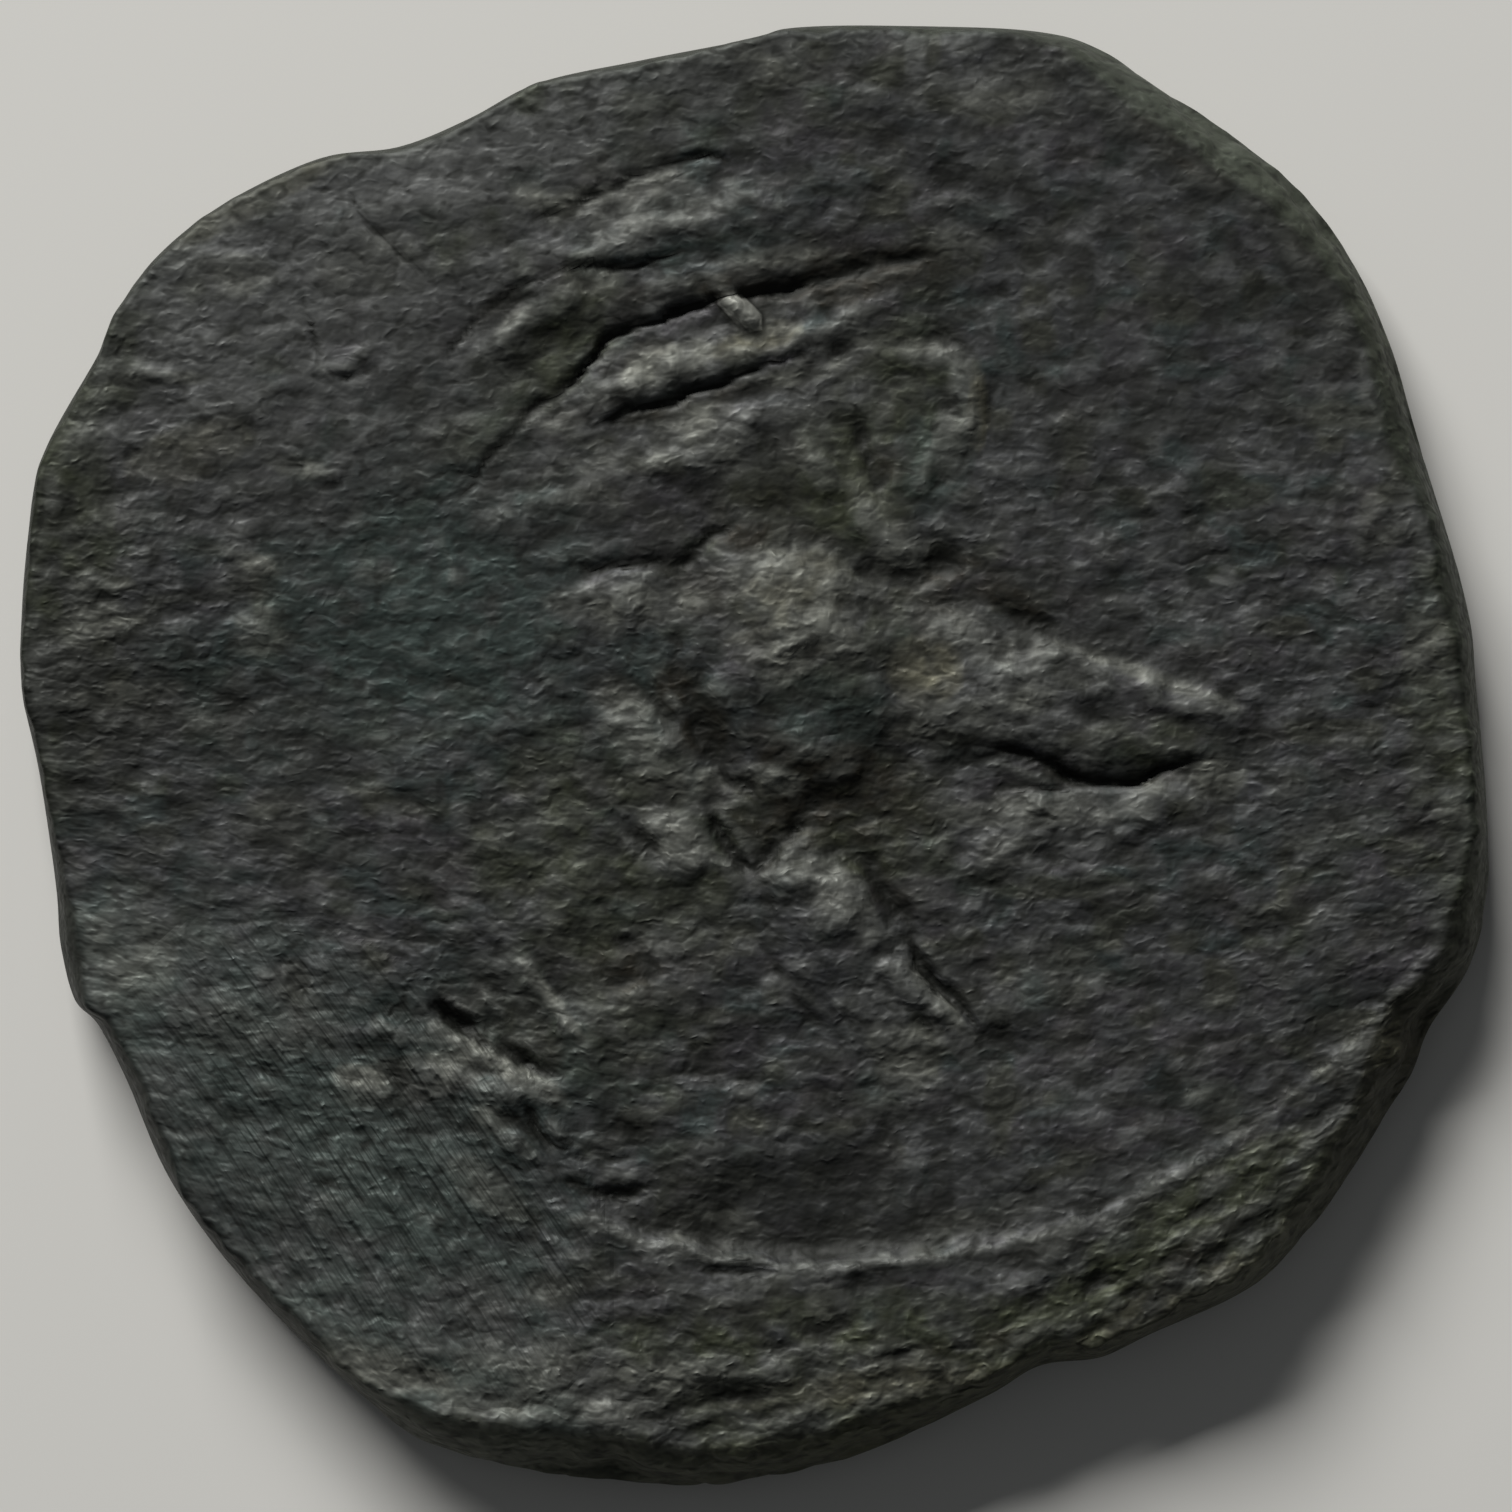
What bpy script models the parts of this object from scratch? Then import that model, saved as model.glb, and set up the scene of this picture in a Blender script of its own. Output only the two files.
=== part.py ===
"""A hammered silver penny lying flat, its struck face up.

One solid: a blank cut and beaten by hand, so its edge is uneven, then struck off centre and worn.
Metres, +Z up. The origin is under the middle of the coin, on the surface that it lies on.
"""

import math

import bmesh
import bpy
import numpy as np

MM = 0.001

# The blank
COIN_WIDTH = 18.5 * MM
RIM_THICKNESS = 1.15 * MM
BELLY_HEIGHT = 0.5 * MM
FOOT_INSET = 0.4 * MM
FOOT_LIFT = 0.05 * MM

# The struck face
FIELD_SINK = 0.12 * MM
RING_STEP = 0.1 * MM
RAISED_EDGE = 0.12 * MM
ROLL_RISE = 0.13 * MM
GROOVE_DEPTH = 0.2 * MM
BOSS_RISE = 0.36 * MM
LEAF_RISE = 0.26 * MM
LOBE_RISE = 0.18 * MM
WEDGE_RISE = 0.14 * MM
GROOVE_HALF_WIDTH = 0.19 * MM
FIELD_SHARES = (0.55, 0.93)  # where the sunk field starts to rise and where it meets the rim
STROKE_FADE = 0.18  # share of a stroke's length over which each end dies away
MOUND_BLUNTNESS = 0.8
LEAF_ROOT_SHARE = 0.6
LOBE_PIT_SHARE = 0.4

# The underside
REVERSE_SINK = 0.08 * MM
REVERSE_RING_RADIUS = 6.4 * MM
REVERSE_LINE_WIDTH = 0.9 * MM
REVERSE_CROSS_SPAN = 10.4 * MM
REVERSE_HUB_RADIUS = 1.5 * MM
REVERSE_SLOPE = 0.35 * MM

# Mesh density, as rings from the middle to the edge, and how far from a stroke the mesh is halved,
# once and then once more.
FACE_RINGS = 17
REVERSE_RINGS = 10
REVERSE_FLAT_SHARE = 0.94
REFINE_REACHES = (0.4 * MM, 0.19 * MM)
SNAP_REACH = 0.06 * MM
SHARP_ANGLE = 55

# Places on the coin are given in units of a drawing sheet with its middle at the coin's middle. One
# UNIT is worked out below so that the outline is COIN_WIDTH wide, so all places are shares of it.

# The outline of the blank, clockwise from its top, with a point where it bends or has a nick.
OUTLINE = (
    (-5, 715), (40, 727), (145, 729), (285, 723), (355, 700), (445, 641), (535, 573), (595, 498),
    (635, 411), (663, 316), (711, 156), (722, 66), (733, -70), (731, -150), (713, -214), (675, -272),
    (650, -329), (600, -409), (550, -479), (495, -532), (395, -579), (345, -602), (285, -610),
    (235, -639), (145, -682), (45, -717), (-65, -731), (-155, -722), (-245, -712), (-325, -689),
    (-395, -636), (-475, -562), (-540, -489), (-590, -412), (-625, -329), (-655, -270), (-679, -244),
    (-693, -190), (-698, -129), (-714, -19), (-730, 56), (-733, 116), (-726, 216), (-710, 301),
    (-655, 401), (-635, 446), (-595, 500), (-530, 551), (-435, 596), (-355, 608), (-285, 636),
    (-215, 672), (-115, 694),
)

# The width of the sloping edge seen from above, by the angle from +X in degrees.
EDGE_BAND = (
    (-180, 20), (-158, 18), (-141, 18), (-126, 16), (-120, 36), (-111, 56), (-101, 60), (-90, 44),
    (-80, 36), (-72, 20), (-60, 16), (-50, 20), (-44, 44), (-34, 60), (-22, 54), (-14, 26), (0, 22),
    (22, 24), (37, 32), (44, 30), (52, 36), (58, 38), (66, 18), (90, 18), (120, 18), (150, 18),
    (180, 20),
)

# The wall below the lip, as shares of the edge band outward and of the height above the foot.
WALL_STEPS = ((0.5, 0.86), (1.0, BELLY_HEIGHT / RIM_THICKNESS), (0.96, 0.2))

# Part of the die's border, a step that rises outward with a hollow before it. Centre, radius and the
# span in degrees, then how many degrees each end takes to die away, half before its end and half past.
RING_ARC = ((80, 218), 722, (244, 327))
RING_FADE = 24
RING_SLOPE = (-0.5, 1.2)  # where the step starts and ends, in groove half widths
RING_HOLLOW = 0.4
RING_HOLLOW_REACH = 2.5

# Rounded folds that run round the upper left of the design, with the half width of each.
ROLLS = (
    (((-285, 470), (-235, 512), (-165, 545), (-85, 563), (-10, 560)), 40, 0.8),
    (((-320, 350), (-265, 415), (-195, 458), (-110, 462), (-20, 480), (60, 488)), 36, 0.7),
    (((-275, 245), (-220, 305), (-150, 362), (-80, 398), (-10, 425), (70, 442), (150, 456)), 34, 1.3),
    (((-300, 195), (-255, 250), (-185, 283), (-110, 308), (-40, 338), (50, 366)), 34, 1.1),
    (((-190, 150), (-120, 168), (-60, 165)), 26, 0.6),
    (((-370, -242), (-300, -282), (-240, -318), (-175, -345)), 26, 0.9),
    (((-275, -345), (-235, -380), (-190, -402)), 22, 0.5),
    (((-135, -60), (-80, -76), (-38, -104)), 26, 0.8),
    (((100, 280), (122, 246), (150, 200)), 30, 0.9),
)

# Sharp grooves between them and round the other forms, each with its depth as a share.
GROOVES = (
    (((-262, 512), (-195, 546), (-115, 573), (-35, 591), (85, 581)), 0.35),
    (((-315, 381), (-275, 436), (-245, 461), (-185, 490), (-115, 484), (-40, 500), (35, 506)), 0.5),
    (((-310, 230), (-275, 286), (-210, 356), (-135, 411), (-55, 451), (45, 461), (145, 474)), 1.0),
    (((-190, 322), (-155, 341), (-65, 366), (-5, 394), (55, 403)), 0.8),
    (((-180, 190), (-115, 186), (-65, 198), (-35, 216), (0, 240)), 0.5),
    (((-325, -240), (-285, -274), (-255, -297), (-175, -308)), 0.7),
    (((-235, -339), (-205, -380), (-115, -399)), 0.5),
    (((75, 340), (105, 306), (128, 272)), 0.7),
    (((-55, -36), (-25, -94), (-5, -132)), 0.6),
    (((135, -108), (150, -174), (200, -244), (232, -286)), 0.8),
    (((195, 12), (255, 1), (305, -14), (345, -29), (395, -27), (460, 2)), 0.9),
)

# Low forms with a round back: centre, half length, half width, turn in degrees and the rise of each.
BOSS = ((22, 92), 165, 108, 96)
LEAF = ((325, 42), 185, 56, -4)
LEAF_ROOT = ((150, 62), 120, 78, -8)
LOBE = ((178, 338), 88, 58, 62)
LOBE_PIT = ((215, 190), 40, 26, 0)

# The raised wedge below the boss, from its point downward: it widens by its spread from a narrow top
# and dies away down its length.
WEDGE_POINT = (55, -82)
WEDGE_LENGTH = 210
WEDGE_TOP = 30
WEDGE_SPREAD = 0.62
WEDGE_TURN = -10
WEDGE_SIDE_SLOPE = (-12, 26)
WEDGE_TOP_SLOPE = (-22, 14)
WEDGE_FULL_SHARE = 0.15

# The raised edge at the upper right, a fold of metal along the lip.
EDGE_FOLD = (((352, 640), (440, 592), (520, 530), (560, 450), (585, 380)), 38)

TONED_SILVER = {
    "Base Color": (0.042, 0.044, 0.042, 1.0),
    "Roughness": 0.6,
    "Metallic": 0.5,
}


def clear_scene():
    for old in list(bpy.data.objects):
        bpy.data.objects.remove(old, do_unlink=True)


def soft_step(start, end, values):
    share = np.clip((values - start) / (end - start), 0.0, 1.0)
    return share * share * (3.0 - 2.0 * share)


def smooth_path(points, closed=False, samples=8):
    """A Catmull-Rom curve through points of the sheet, in its units."""
    fixed = np.array(points, float)
    count = len(fixed)
    if closed:
        padded = np.vstack([fixed[-1:], fixed, fixed[:2]])
        spans = count
    else:
        padded = np.vstack([2 * fixed[0] - fixed[1], fixed, 2 * fixed[-1] - fixed[-2]])
        spans = count - 1
    share = np.linspace(0.0, 1.0, samples, endpoint=False)[:, None]
    path = []
    for first in range(spans):
        a, b, c, d = padded[first : first + 4]
        path.append(
            b
            + 0.5 * share * (c - a)
            + share**2 * (a - 2.5 * b + 2 * c - 0.5 * d)
            + share**3 * (1.5 * (b - c) + 0.5 * (d - a))
        )
    if not closed:
        path.append(fixed[-1:])
    return np.vstack(path)


def nearest_on_path(places, path):
    """For each place, the nearest point of a path, how far it is, and its share of the way along."""
    starts = path[:-1]
    runs = path[1:] - starts
    squares = np.maximum((runs**2).sum(axis=1), 1e-18)
    offsets = places[:, None, :] - starts[None, :, :]
    shares = np.clip((offsets * runs).sum(axis=2) / squares, 0.0, 1.0)
    gaps = np.linalg.norm(offsets - shares[:, :, None] * runs, axis=2)
    nearest = gaps.argmin(axis=1)
    row = np.arange(len(places))
    share = shares[row, nearest]
    points = starts[nearest] + share[:, None] * runs[nearest]
    return points, gaps[row, nearest], (nearest + share) / len(runs)


UNIT = COIN_WIDTH / np.ptp(smooth_path(OUTLINE, closed=True)[:, 0])
OUTLINE_PATH = smooth_path(OUTLINE, closed=True) * UNIT


def radius_by_angle(angles):
    """The outline's distance from the middle in each direction."""
    directions = np.arctan2(OUTLINE_PATH[:, 1], OUTLINE_PATH[:, 0])
    order = directions.argsort()
    radii = np.hypot(OUTLINE_PATH[:, 0], OUTLINE_PATH[:, 1])
    return np.interp(angles, directions[order], radii[order], period=2 * math.pi)


def band_by_angle(angles):
    turns, widths = np.array(EDGE_BAND, float).T
    return np.interp(np.degrees(angles), turns, widths) * UNIT


def stroke_profile(places, points, half_width):
    """A rounded stroke along a path, 1 on its line and 0 at its side, that fades out at both ends."""
    _, gap, way = nearest_on_path(places, smooth_path(points) * UNIT)
    fade = soft_step(0.0, STROKE_FADE, way) * soft_step(1.0, 1.0 - STROKE_FADE, way)
    return np.clip(1.0 - (gap / half_width) ** 2, 0.0, 1.0) ** 2 * fade


def mound_profile(places, centre, half_length, half_width, turn):
    """A round-backed low form, 1 in its middle and 0 at its edge."""
    offsets = places - np.array(centre) * UNIT
    angle = math.radians(turn)
    lengthwise = offsets @ np.array([math.cos(angle), math.sin(angle)])
    crosswise = offsets @ np.array([-math.sin(angle), math.cos(angle)])
    reach = np.hypot(lengthwise / (half_length * UNIT), crosswise / (half_width * UNIT))
    return np.clip(1.0 - reach**2, 0.0, 1.0) ** MOUND_BLUNTNESS


def ring_rise(places):
    centre, radius, (start, end) = RING_ARC
    offsets = places - np.array(centre) * UNIT
    outward = np.hypot(*offsets.T) - radius * UNIT
    angles = np.degrees(np.arctan2(offsets[:, 1], offsets[:, 0])) % 360
    half_fade = RING_FADE / 2
    ends = soft_step(start - half_fade, start + half_fade, angles)
    ends *= soft_step(end + half_fade, end - half_fade, angles)
    step = soft_step(RING_SLOPE[0], RING_SLOPE[1], outward / GROOVE_HALF_WIDTH)
    hollow = np.exp(-((outward / GROOVE_HALF_WIDTH / RING_HOLLOW_REACH) ** 2)) * (outward < 0)
    return ends * (step - RING_HOLLOW * hollow)


def wedge_rise(places):
    offsets = places / UNIT - np.array(WEDGE_POINT)
    angle = math.radians(WEDGE_TURN)
    down = -offsets @ np.array([math.sin(angle), math.cos(angle)])
    across = offsets @ np.array([math.cos(angle), -math.sin(angle)])
    side = WEDGE_SPREAD * (down + WEDGE_TOP) - np.abs(across)
    body = soft_step(*WEDGE_SIDE_SLOPE, side) * soft_step(*WEDGE_TOP_SLOPE, down)
    return body * soft_step(WEDGE_LENGTH, WEDGE_FULL_SHARE * WEDGE_LENGTH, down)


def face_height(places):
    """The height of the struck face above the surface that the coin lies on."""
    angles = np.arctan2(places[:, 1], places[:, 0])
    share = np.hypot(*places.T) / radius_by_angle(angles)
    height = np.full(len(places), RIM_THICKNESS - FIELD_SINK)
    height += FIELD_SINK * soft_step(*FIELD_SHARES, share)
    height += RING_STEP * ring_rise(places)
    fold_points, fold_width = EDGE_FOLD
    height += RAISED_EDGE * stroke_profile(places, fold_points, fold_width * UNIT)
    for points, half_width, rise in ROLLS:
        height += ROLL_RISE * rise * stroke_profile(places, points, half_width * UNIT)
    raised = BOSS_RISE * mound_profile(places, *BOSS)
    for form, rise in ((LEAF, LEAF_RISE), (LEAF_ROOT, LEAF_ROOT_SHARE * LEAF_RISE), (LOBE, LOBE_RISE)):
        raised = np.maximum(raised, rise * mound_profile(places, *form))
    height += np.maximum(raised, WEDGE_RISE * wedge_rise(places))
    height -= LOBE_PIT_SHARE * GROOVE_DEPTH * mound_profile(places, *LOBE_PIT)
    for points, depth in GROOVES:
        height -= GROOVE_DEPTH * depth * stroke_profile(places, points, GROOVE_HALF_WIDTH)
    return height


def line_gap(places):
    """How far each place lies outside the lines of the reverse, negative on them."""
    distance = np.hypot(*places.T)
    half_line = REVERSE_LINE_WIDTH / 2
    ring_gap = np.abs(distance - REVERSE_RING_RADIUS) - half_line
    hub_gap = distance - REVERSE_HUB_RADIUS
    bars = []
    for axis in (0, 1):
        beside = np.abs(places[:, axis]) - half_line
        beyond = np.abs(places[:, 1 - axis]) - REVERSE_CROSS_SPAN / 2
        bars.append(np.maximum(beside, beyond))
    return np.minimum.reduce([ring_gap, hub_gap, *bars])


def reverse_height(places):
    """The underside: a worn ring and cross left flat where they bear, in a slightly sunk field."""
    return REVERSE_SINK * soft_step(0.0, REVERSE_SLOPE, line_gap(places))


def disc_sheet(rings, edge_radius):
    """A square grid spread over the coin, as rings that follow its outline."""
    sheet = bmesh.new()
    bmesh.ops.create_grid(sheet, x_segments=2 * rings, y_segments=2 * rings, size=1.0)
    for vertex in sheet.verts:
        across, up, _ = vertex.co
        if max(abs(across), abs(up)) < 0.5 / rings:
            continue
        if abs(across) >= abs(up):
            angle = math.pi / 4 * up / across
            signed = across
        else:
            angle = math.pi / 2 - math.pi / 4 * across / up
            signed = up
        x = signed * math.cos(angle)
        y = signed * math.sin(angle)
        radius = edge_radius(math.atan2(y, x))
        vertex.co = (x * radius, y * radius, 0.0)
    return sheet


def plan(vertices):
    return np.array([vertex.co.xy for vertex in vertices])


def refine(sheet, gap_at, reaches):
    """Halves the inner edges that lie near a stroke, once for each reach."""
    for reach in reaches:
        edges = [edge for edge in sheet.edges if not edge.is_boundary]
        middles = (plan(e.verts[0] for e in edges) + plan(e.verts[1] for e in edges)) / 2
        chosen = [edge for edge, gap in zip(edges, gap_at(middles)) if gap < reach]
        bmesh.ops.subdivide_edges(sheet, edges=chosen, cuts=1, use_grid_fill=True)


def face_gap(places):
    """How far each place lies from the nearest line or form of the struck face."""
    gaps = [nearest_on_path(places, path)[1] for path in face_lines()]
    for form in (BOSS, LEAF, LEAF_ROOT, LOBE, (WEDGE_POINT, WEDGE_LENGTH / 2, WEDGE_LENGTH / 2, 0)):
        gaps.append(np.where(mound_profile(places, *form) > 0.0, REFINE_REACHES[1], COIN_WIDTH))
    return np.minimum.reduce(gaps)


def reverse_gap(places):
    return np.abs(line_gap(places) - REVERSE_SLOPE / 2)


def face_lines():
    strokes = [points for points, *_ in (*GROOVES, *ROLLS, EDGE_FOLD)]
    return [smooth_path(points) * UNIT for points in (*strokes, ring_points())]


def ring_points():
    centre, radius, (start, end) = RING_ARC
    turns = np.radians(np.linspace(start, end, 12))
    return np.array(centre) + radius * np.column_stack([np.cos(turns), np.sin(turns)])


def snap_to_lines(sheet):
    """Moves the vertices beside a groove or the ring onto its line, so that the line is an unbroken edge."""
    inner = [vertex for vertex in sheet.verts if not vertex.is_boundary]
    for points in (*(groove for groove, _ in GROOVES), ring_points()):
        found, gaps, ways = nearest_on_path(plan(inner), smooth_path(points) * UNIT)
        for vertex, point, gap, way in zip(inner, found, gaps, ways):
            if gap < SNAP_REACH and 0 < way < 1:
                vertex.co.xy = point


def lift(sheet, height_at):
    for vertex, height in zip(sheet.verts, height_at(plan(sheet.verts))):
        vertex.co.z = height


def open_edges(mesh):
    return [edge for edge in mesh.edges if edge.is_boundary]


def draw_wall(mesh):
    """Draws the lip of the struck face out and down to the foot of the coin."""
    loop = open_edges(mesh)
    for outward, up in (*WALL_STEPS, (None, None)):
        made = bmesh.ops.extrude_edge_only(mesh, edges=loop)
        loop = [item for item in made["geom"] if isinstance(item, bmesh.types.BMEdge)]
        for vertex in (item for item in made["geom"] if isinstance(item, bmesh.types.BMVert)):
            angle = math.atan2(vertex.co.y, vertex.co.x)
            if outward is None:
                radius = radius_by_angle(angle) - FOOT_INSET
                height = FOOT_LIFT
            else:
                radius = radius_by_angle(angle) - band_by_angle(angle) * (1 - outward)
                height = FOOT_LIFT + up * (lip_height(angle) - FOOT_LIFT)
            vertex.co = (radius * math.cos(angle), radius * math.sin(angle), height)


def lip_radius(angle):
    return radius_by_angle(angle) - band_by_angle(angle)


def lip_height(angle):
    radius = lip_radius(angle)
    return face_height(np.array([[radius * math.cos(angle), radius * math.sin(angle)]]))[0]


def foot_radius(angle):
    return REVERSE_FLAT_SHARE * (radius_by_angle(angle) - FOOT_INSET)


def middle_of_outline():
    return (OUTLINE_PATH.min(axis=0) + OUTLINE_PATH.max(axis=0)) / 2


def build_penny():
    mesh = disc_sheet(FACE_RINGS, lip_radius)
    refine(mesh, face_gap, REFINE_REACHES)
    snap_to_lines(mesh)
    lift(mesh, face_height)
    draw_wall(mesh)
    underside = disc_sheet(REVERSE_RINGS, foot_radius)
    refine(underside, reverse_gap, REFINE_REACHES[:1])
    lift(underside, reverse_height)
    data = bpy.data.meshes.new("penny")
    underside.to_mesh(data)
    underside.free()
    mesh.from_mesh(data)
    bmesh.ops.bridge_loops(mesh, edges=open_edges(mesh))
    middle = middle_of_outline()
    bmesh.ops.translate(mesh, verts=mesh.verts, vec=(-middle[0], -middle[1], 0.0))
    bmesh.ops.triangulate(mesh, faces=mesh.faces)
    bmesh.ops.recalc_face_normals(mesh, faces=mesh.faces)
    mesh.to_mesh(data)
    mesh.free()
    data.shade_smooth()
    data.set_sharp_from_angle(angle=math.radians(SHARP_ANGLE))
    return bpy.data.objects.new("penny", data)


def toned_silver():
    material = bpy.data.materials.new("toned_silver")
    material.use_nodes = True
    shader = material.node_tree.nodes["Principled BSDF"]
    for name, value in TONED_SILVER.items():
        shader.inputs[name].default_value = value
    return material


def main():
    clear_scene()
    coin = bpy.data.collections.new("silver_penny")
    bpy.context.scene.collection.children.link(coin)
    penny = build_penny()
    penny.data.materials.append(toned_silver())
    coin.objects.link(penny)


main()
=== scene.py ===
import math

import bpy
import numpy as np
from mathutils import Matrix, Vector


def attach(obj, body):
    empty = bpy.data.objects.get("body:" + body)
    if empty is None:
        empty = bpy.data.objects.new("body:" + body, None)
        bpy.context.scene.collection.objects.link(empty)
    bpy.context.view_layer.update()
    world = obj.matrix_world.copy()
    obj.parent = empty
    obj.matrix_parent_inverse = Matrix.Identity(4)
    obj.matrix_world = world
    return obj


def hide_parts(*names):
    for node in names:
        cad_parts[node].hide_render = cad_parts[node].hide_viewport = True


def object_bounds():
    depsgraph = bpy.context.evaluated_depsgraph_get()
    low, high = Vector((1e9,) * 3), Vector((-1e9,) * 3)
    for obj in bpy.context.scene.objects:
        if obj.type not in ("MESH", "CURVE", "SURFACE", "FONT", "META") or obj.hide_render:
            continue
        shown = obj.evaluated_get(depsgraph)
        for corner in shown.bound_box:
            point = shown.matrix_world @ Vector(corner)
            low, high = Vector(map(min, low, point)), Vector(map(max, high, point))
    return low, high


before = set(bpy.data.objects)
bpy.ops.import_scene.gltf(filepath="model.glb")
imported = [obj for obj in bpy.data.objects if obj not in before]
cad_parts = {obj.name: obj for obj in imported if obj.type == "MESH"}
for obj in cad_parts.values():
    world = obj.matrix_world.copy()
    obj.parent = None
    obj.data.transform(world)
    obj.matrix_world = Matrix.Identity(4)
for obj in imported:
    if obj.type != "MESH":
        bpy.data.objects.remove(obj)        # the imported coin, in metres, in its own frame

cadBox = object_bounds()
mm = 0.001

# Places on the coin are units of a drawing sheet with its middle at the coin's middle, +X right and
# +Y up the struck face. The coin is about 1466 of them wide, so one is about 0.0126 mm. Heights are
# in millimetres.

blank = {
    'faceRings': 132,            # rings of mesh on the struck face
    'wallRows': 12,              # rows down the edge
    'reverseRings': 50,          # rings of mesh on the underside
    'rimHeight': 1.15,
    'fieldSink': 0.12,           # how far the field lies below the rim, before it is struck
    'fieldSlope': (0.93, 0.55),  # the shares of the radius between which it sinks
    'footInset': 0.4,            # mm, how far inside the outline the edge ends below
    'footLift': 0.05,
    'insideBox': 0.998,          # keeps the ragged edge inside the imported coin's box
    'reverseShare': 0.94,        # where the underside's flat part ends
    'outline': [
        (-5, 715), (40, 727), (145, 729), (285, 723), (355, 700), (445, 641), (535, 573), (595, 498),
        (635, 411), (663, 316), (711, 156), (722, 66), (733, -70), (731, -150), (713, -214),
        (675, -272), (650, -329), (600, -409), (550, -479), (495, -532), (395, -579), (345, -602),
        (285, -610), (235, -639), (145, -682), (45, -717), (-65, -731), (-155, -722), (-245, -712),
        (-325, -689), (-395, -636), (-475, -562), (-540, -489), (-590, -412), (-625, -329),
        (-655, -270), (-679, -244), (-693, -190), (-698, -129), (-714, -19), (-730, 56), (-733, 116),
        (-726, 216), (-710, 301), (-655, 401), (-635, 446), (-595, 500), (-530, 551), (-435, 596),
        (-355, 608), (-285, 636), (-215, 672), (-115, 694),
    ],
    # width of the sloping edge seen from above, by the angle from +X in degrees
    'edgeBand': [
        (-180, 9), (-172, 11), (-165, 17), (-150, 17), (-141, 15), (-126, 18), (-120, 26), (-111, 42),
        (-101, 48), (-90, 42), (-80, 36), (-72, 20), (-60, 16), (-50, 20), (-44, 28), (-34, 40),
        (-22, 48), (-14, 34), (-6, 20), (0, 20), (22, 24), (37, 32), (44, 30), (52, 36), (58, 38),
        (66, 14), (90, 10), (120, 8), (150, 8), (180, 9),
    ],
    'meanRadius': 700,           # turns an angle into a length along the edge
    'lipWander': [(44, 6), (17, 4)],    # the lip's unevenness: size along the edge, reach
    'steadyBand': 20,            # where the band is narrower than this, the lip wanders less
    'leastBand': 6,
    # the edge from the lip down: share of the band's width outward, share of the height
    'wall': [(0.0, 1.0), (0.5, 0.84), (0.86, 0.55), (1.0, 0.43), (0.96, 0.2)],
    # lumps on a wide edge: size across in units, share, how much longer than wide
    'wallLumps': [(22, 0.7, 2.6), (11, 0.8, 3.0)],
    'lumpyBand': (22, 46),       # lumps start at the first width and are full at the second
    'lumpRow': 7.0,              # how far one row of the mesh moves on through the lumps
    'lumpDepth': 0.12,           # of the band's width
    'lumpLift': 0.0015,          # mm of height for each unit of the band's width
}


def softStep(start, end, values):
    share = np.clip((values - start) / (end - start), 0.0, 1.0)
    return share * share * (3.0 - 2.0 * share)


def smoothPath(points, closed=False, samples=7):
    fixed = np.array(points, float)
    if closed:
        padded = np.vstack([fixed[-1:], fixed, fixed[:2]])
        spans = len(fixed)
    else:
        padded = np.vstack([2 * fixed[0] - fixed[1], fixed, 2 * fixed[-1] - fixed[-2]])
        spans = len(fixed) - 1
    share = np.linspace(0.0, 1.0, samples, endpoint=False)[:, None]
    path = []
    for first in range(spans):
        a, b, c, d = padded[first:first + 4]
        path.append(b + 0.5 * share * (c - a) + share ** 2 * (a - 2.5 * b + 2 * c - 0.5 * d)
                    + share ** 3 * (1.5 * (b - c) + 0.5 * (d - a)))
    if not closed:
        path.append(fixed[-1:])
    return np.vstack(path)


outlinePath = smoothPath(blank['outline'], closed=True)
outlineMiddle = (outlinePath.min(axis=0) + outlinePath.max(axis=0)) / 2
unit = (cadBox[1].x - cadBox[0].x) / mm / np.ptp(outlinePath[:, 0]) * blank['insideBox']    # mm


def radiusAt(angle):
    turns = np.arctan2(outlinePath[:, 1], outlinePath[:, 0])
    order = turns.argsort()
    return np.interp(angle, turns[order], np.hypot(*outlinePath.T)[order], period=2 * math.pi)


latticeSize = 64
latticeShift = (17.3, 9.1)       # keeps the sheet's middle off a corner of the lattice

# Where each pattern of grain starts its random draws. Its further layers take the numbers that follow.
seeds = {
    'skin': 1, 'pullX': 11, 'pullY': 13, 'wear': 21, 'stroke': 31, 'borderLip': 33, 'border': 34,
    'lip': 41, 'wallLumps': 43, 'flecks': 51, 'toningWithPaintedLight': 61, 'flakes': 80,
}
toningSeedStep = 10              # between the two layers of one film


def grain(x, y, size, seed, stretch=1.0):
    # smooth noise from -1 to 1 with a bump about every size units, stretched along x
    lattice = np.random.default_rng(seed).uniform(-1.0, 1.0, (latticeSize, latticeSize))
    across = x / (size * stretch) + latticeShift[0]
    up = y / size + latticeShift[1]
    column = np.floor(across).astype(int)
    row = np.floor(up).astype(int)
    across = across - column
    up = up - row
    across = across ** 3 * (across * (across * 6 - 15) + 10)
    up = up ** 3 * (up * (up * 6 - 15) + 10)
    left, right = column % latticeSize, (column + 1) % latticeSize
    low, high = row % latticeSize, (row + 1) % latticeSize
    bottom = lattice[low, left] * (1 - across) + lattice[low, right] * across
    top = lattice[high, left] * (1 - across) + lattice[high, right] * across
    return bottom * (1 - up) + top * up


def layered(x, y, layers, seed, seedStep=1):
    # grain of several sizes, each layer given by its size, its height and, if it has one, its stretch
    return sum(height * grain(x, y, size, seed + seedStep * order, *stretch)
               for order, (size, height, *stretch) in enumerate(layers))


def bandAt(angle):
    # the width of the sloping edge seen from above, with an uneven lip
    turns, widths = np.array(blank['edgeBand'], float).T
    around = blank['meanRadius'] * angle
    width = np.interp(np.degrees(angle), turns, widths)
    wander = layered(around, 0 * around, blank['lipWander'], seeds['lip'])
    return np.maximum(width + wander * np.minimum(width / blank['steadyBand'], 1.0), blank['leastBand'])


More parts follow.
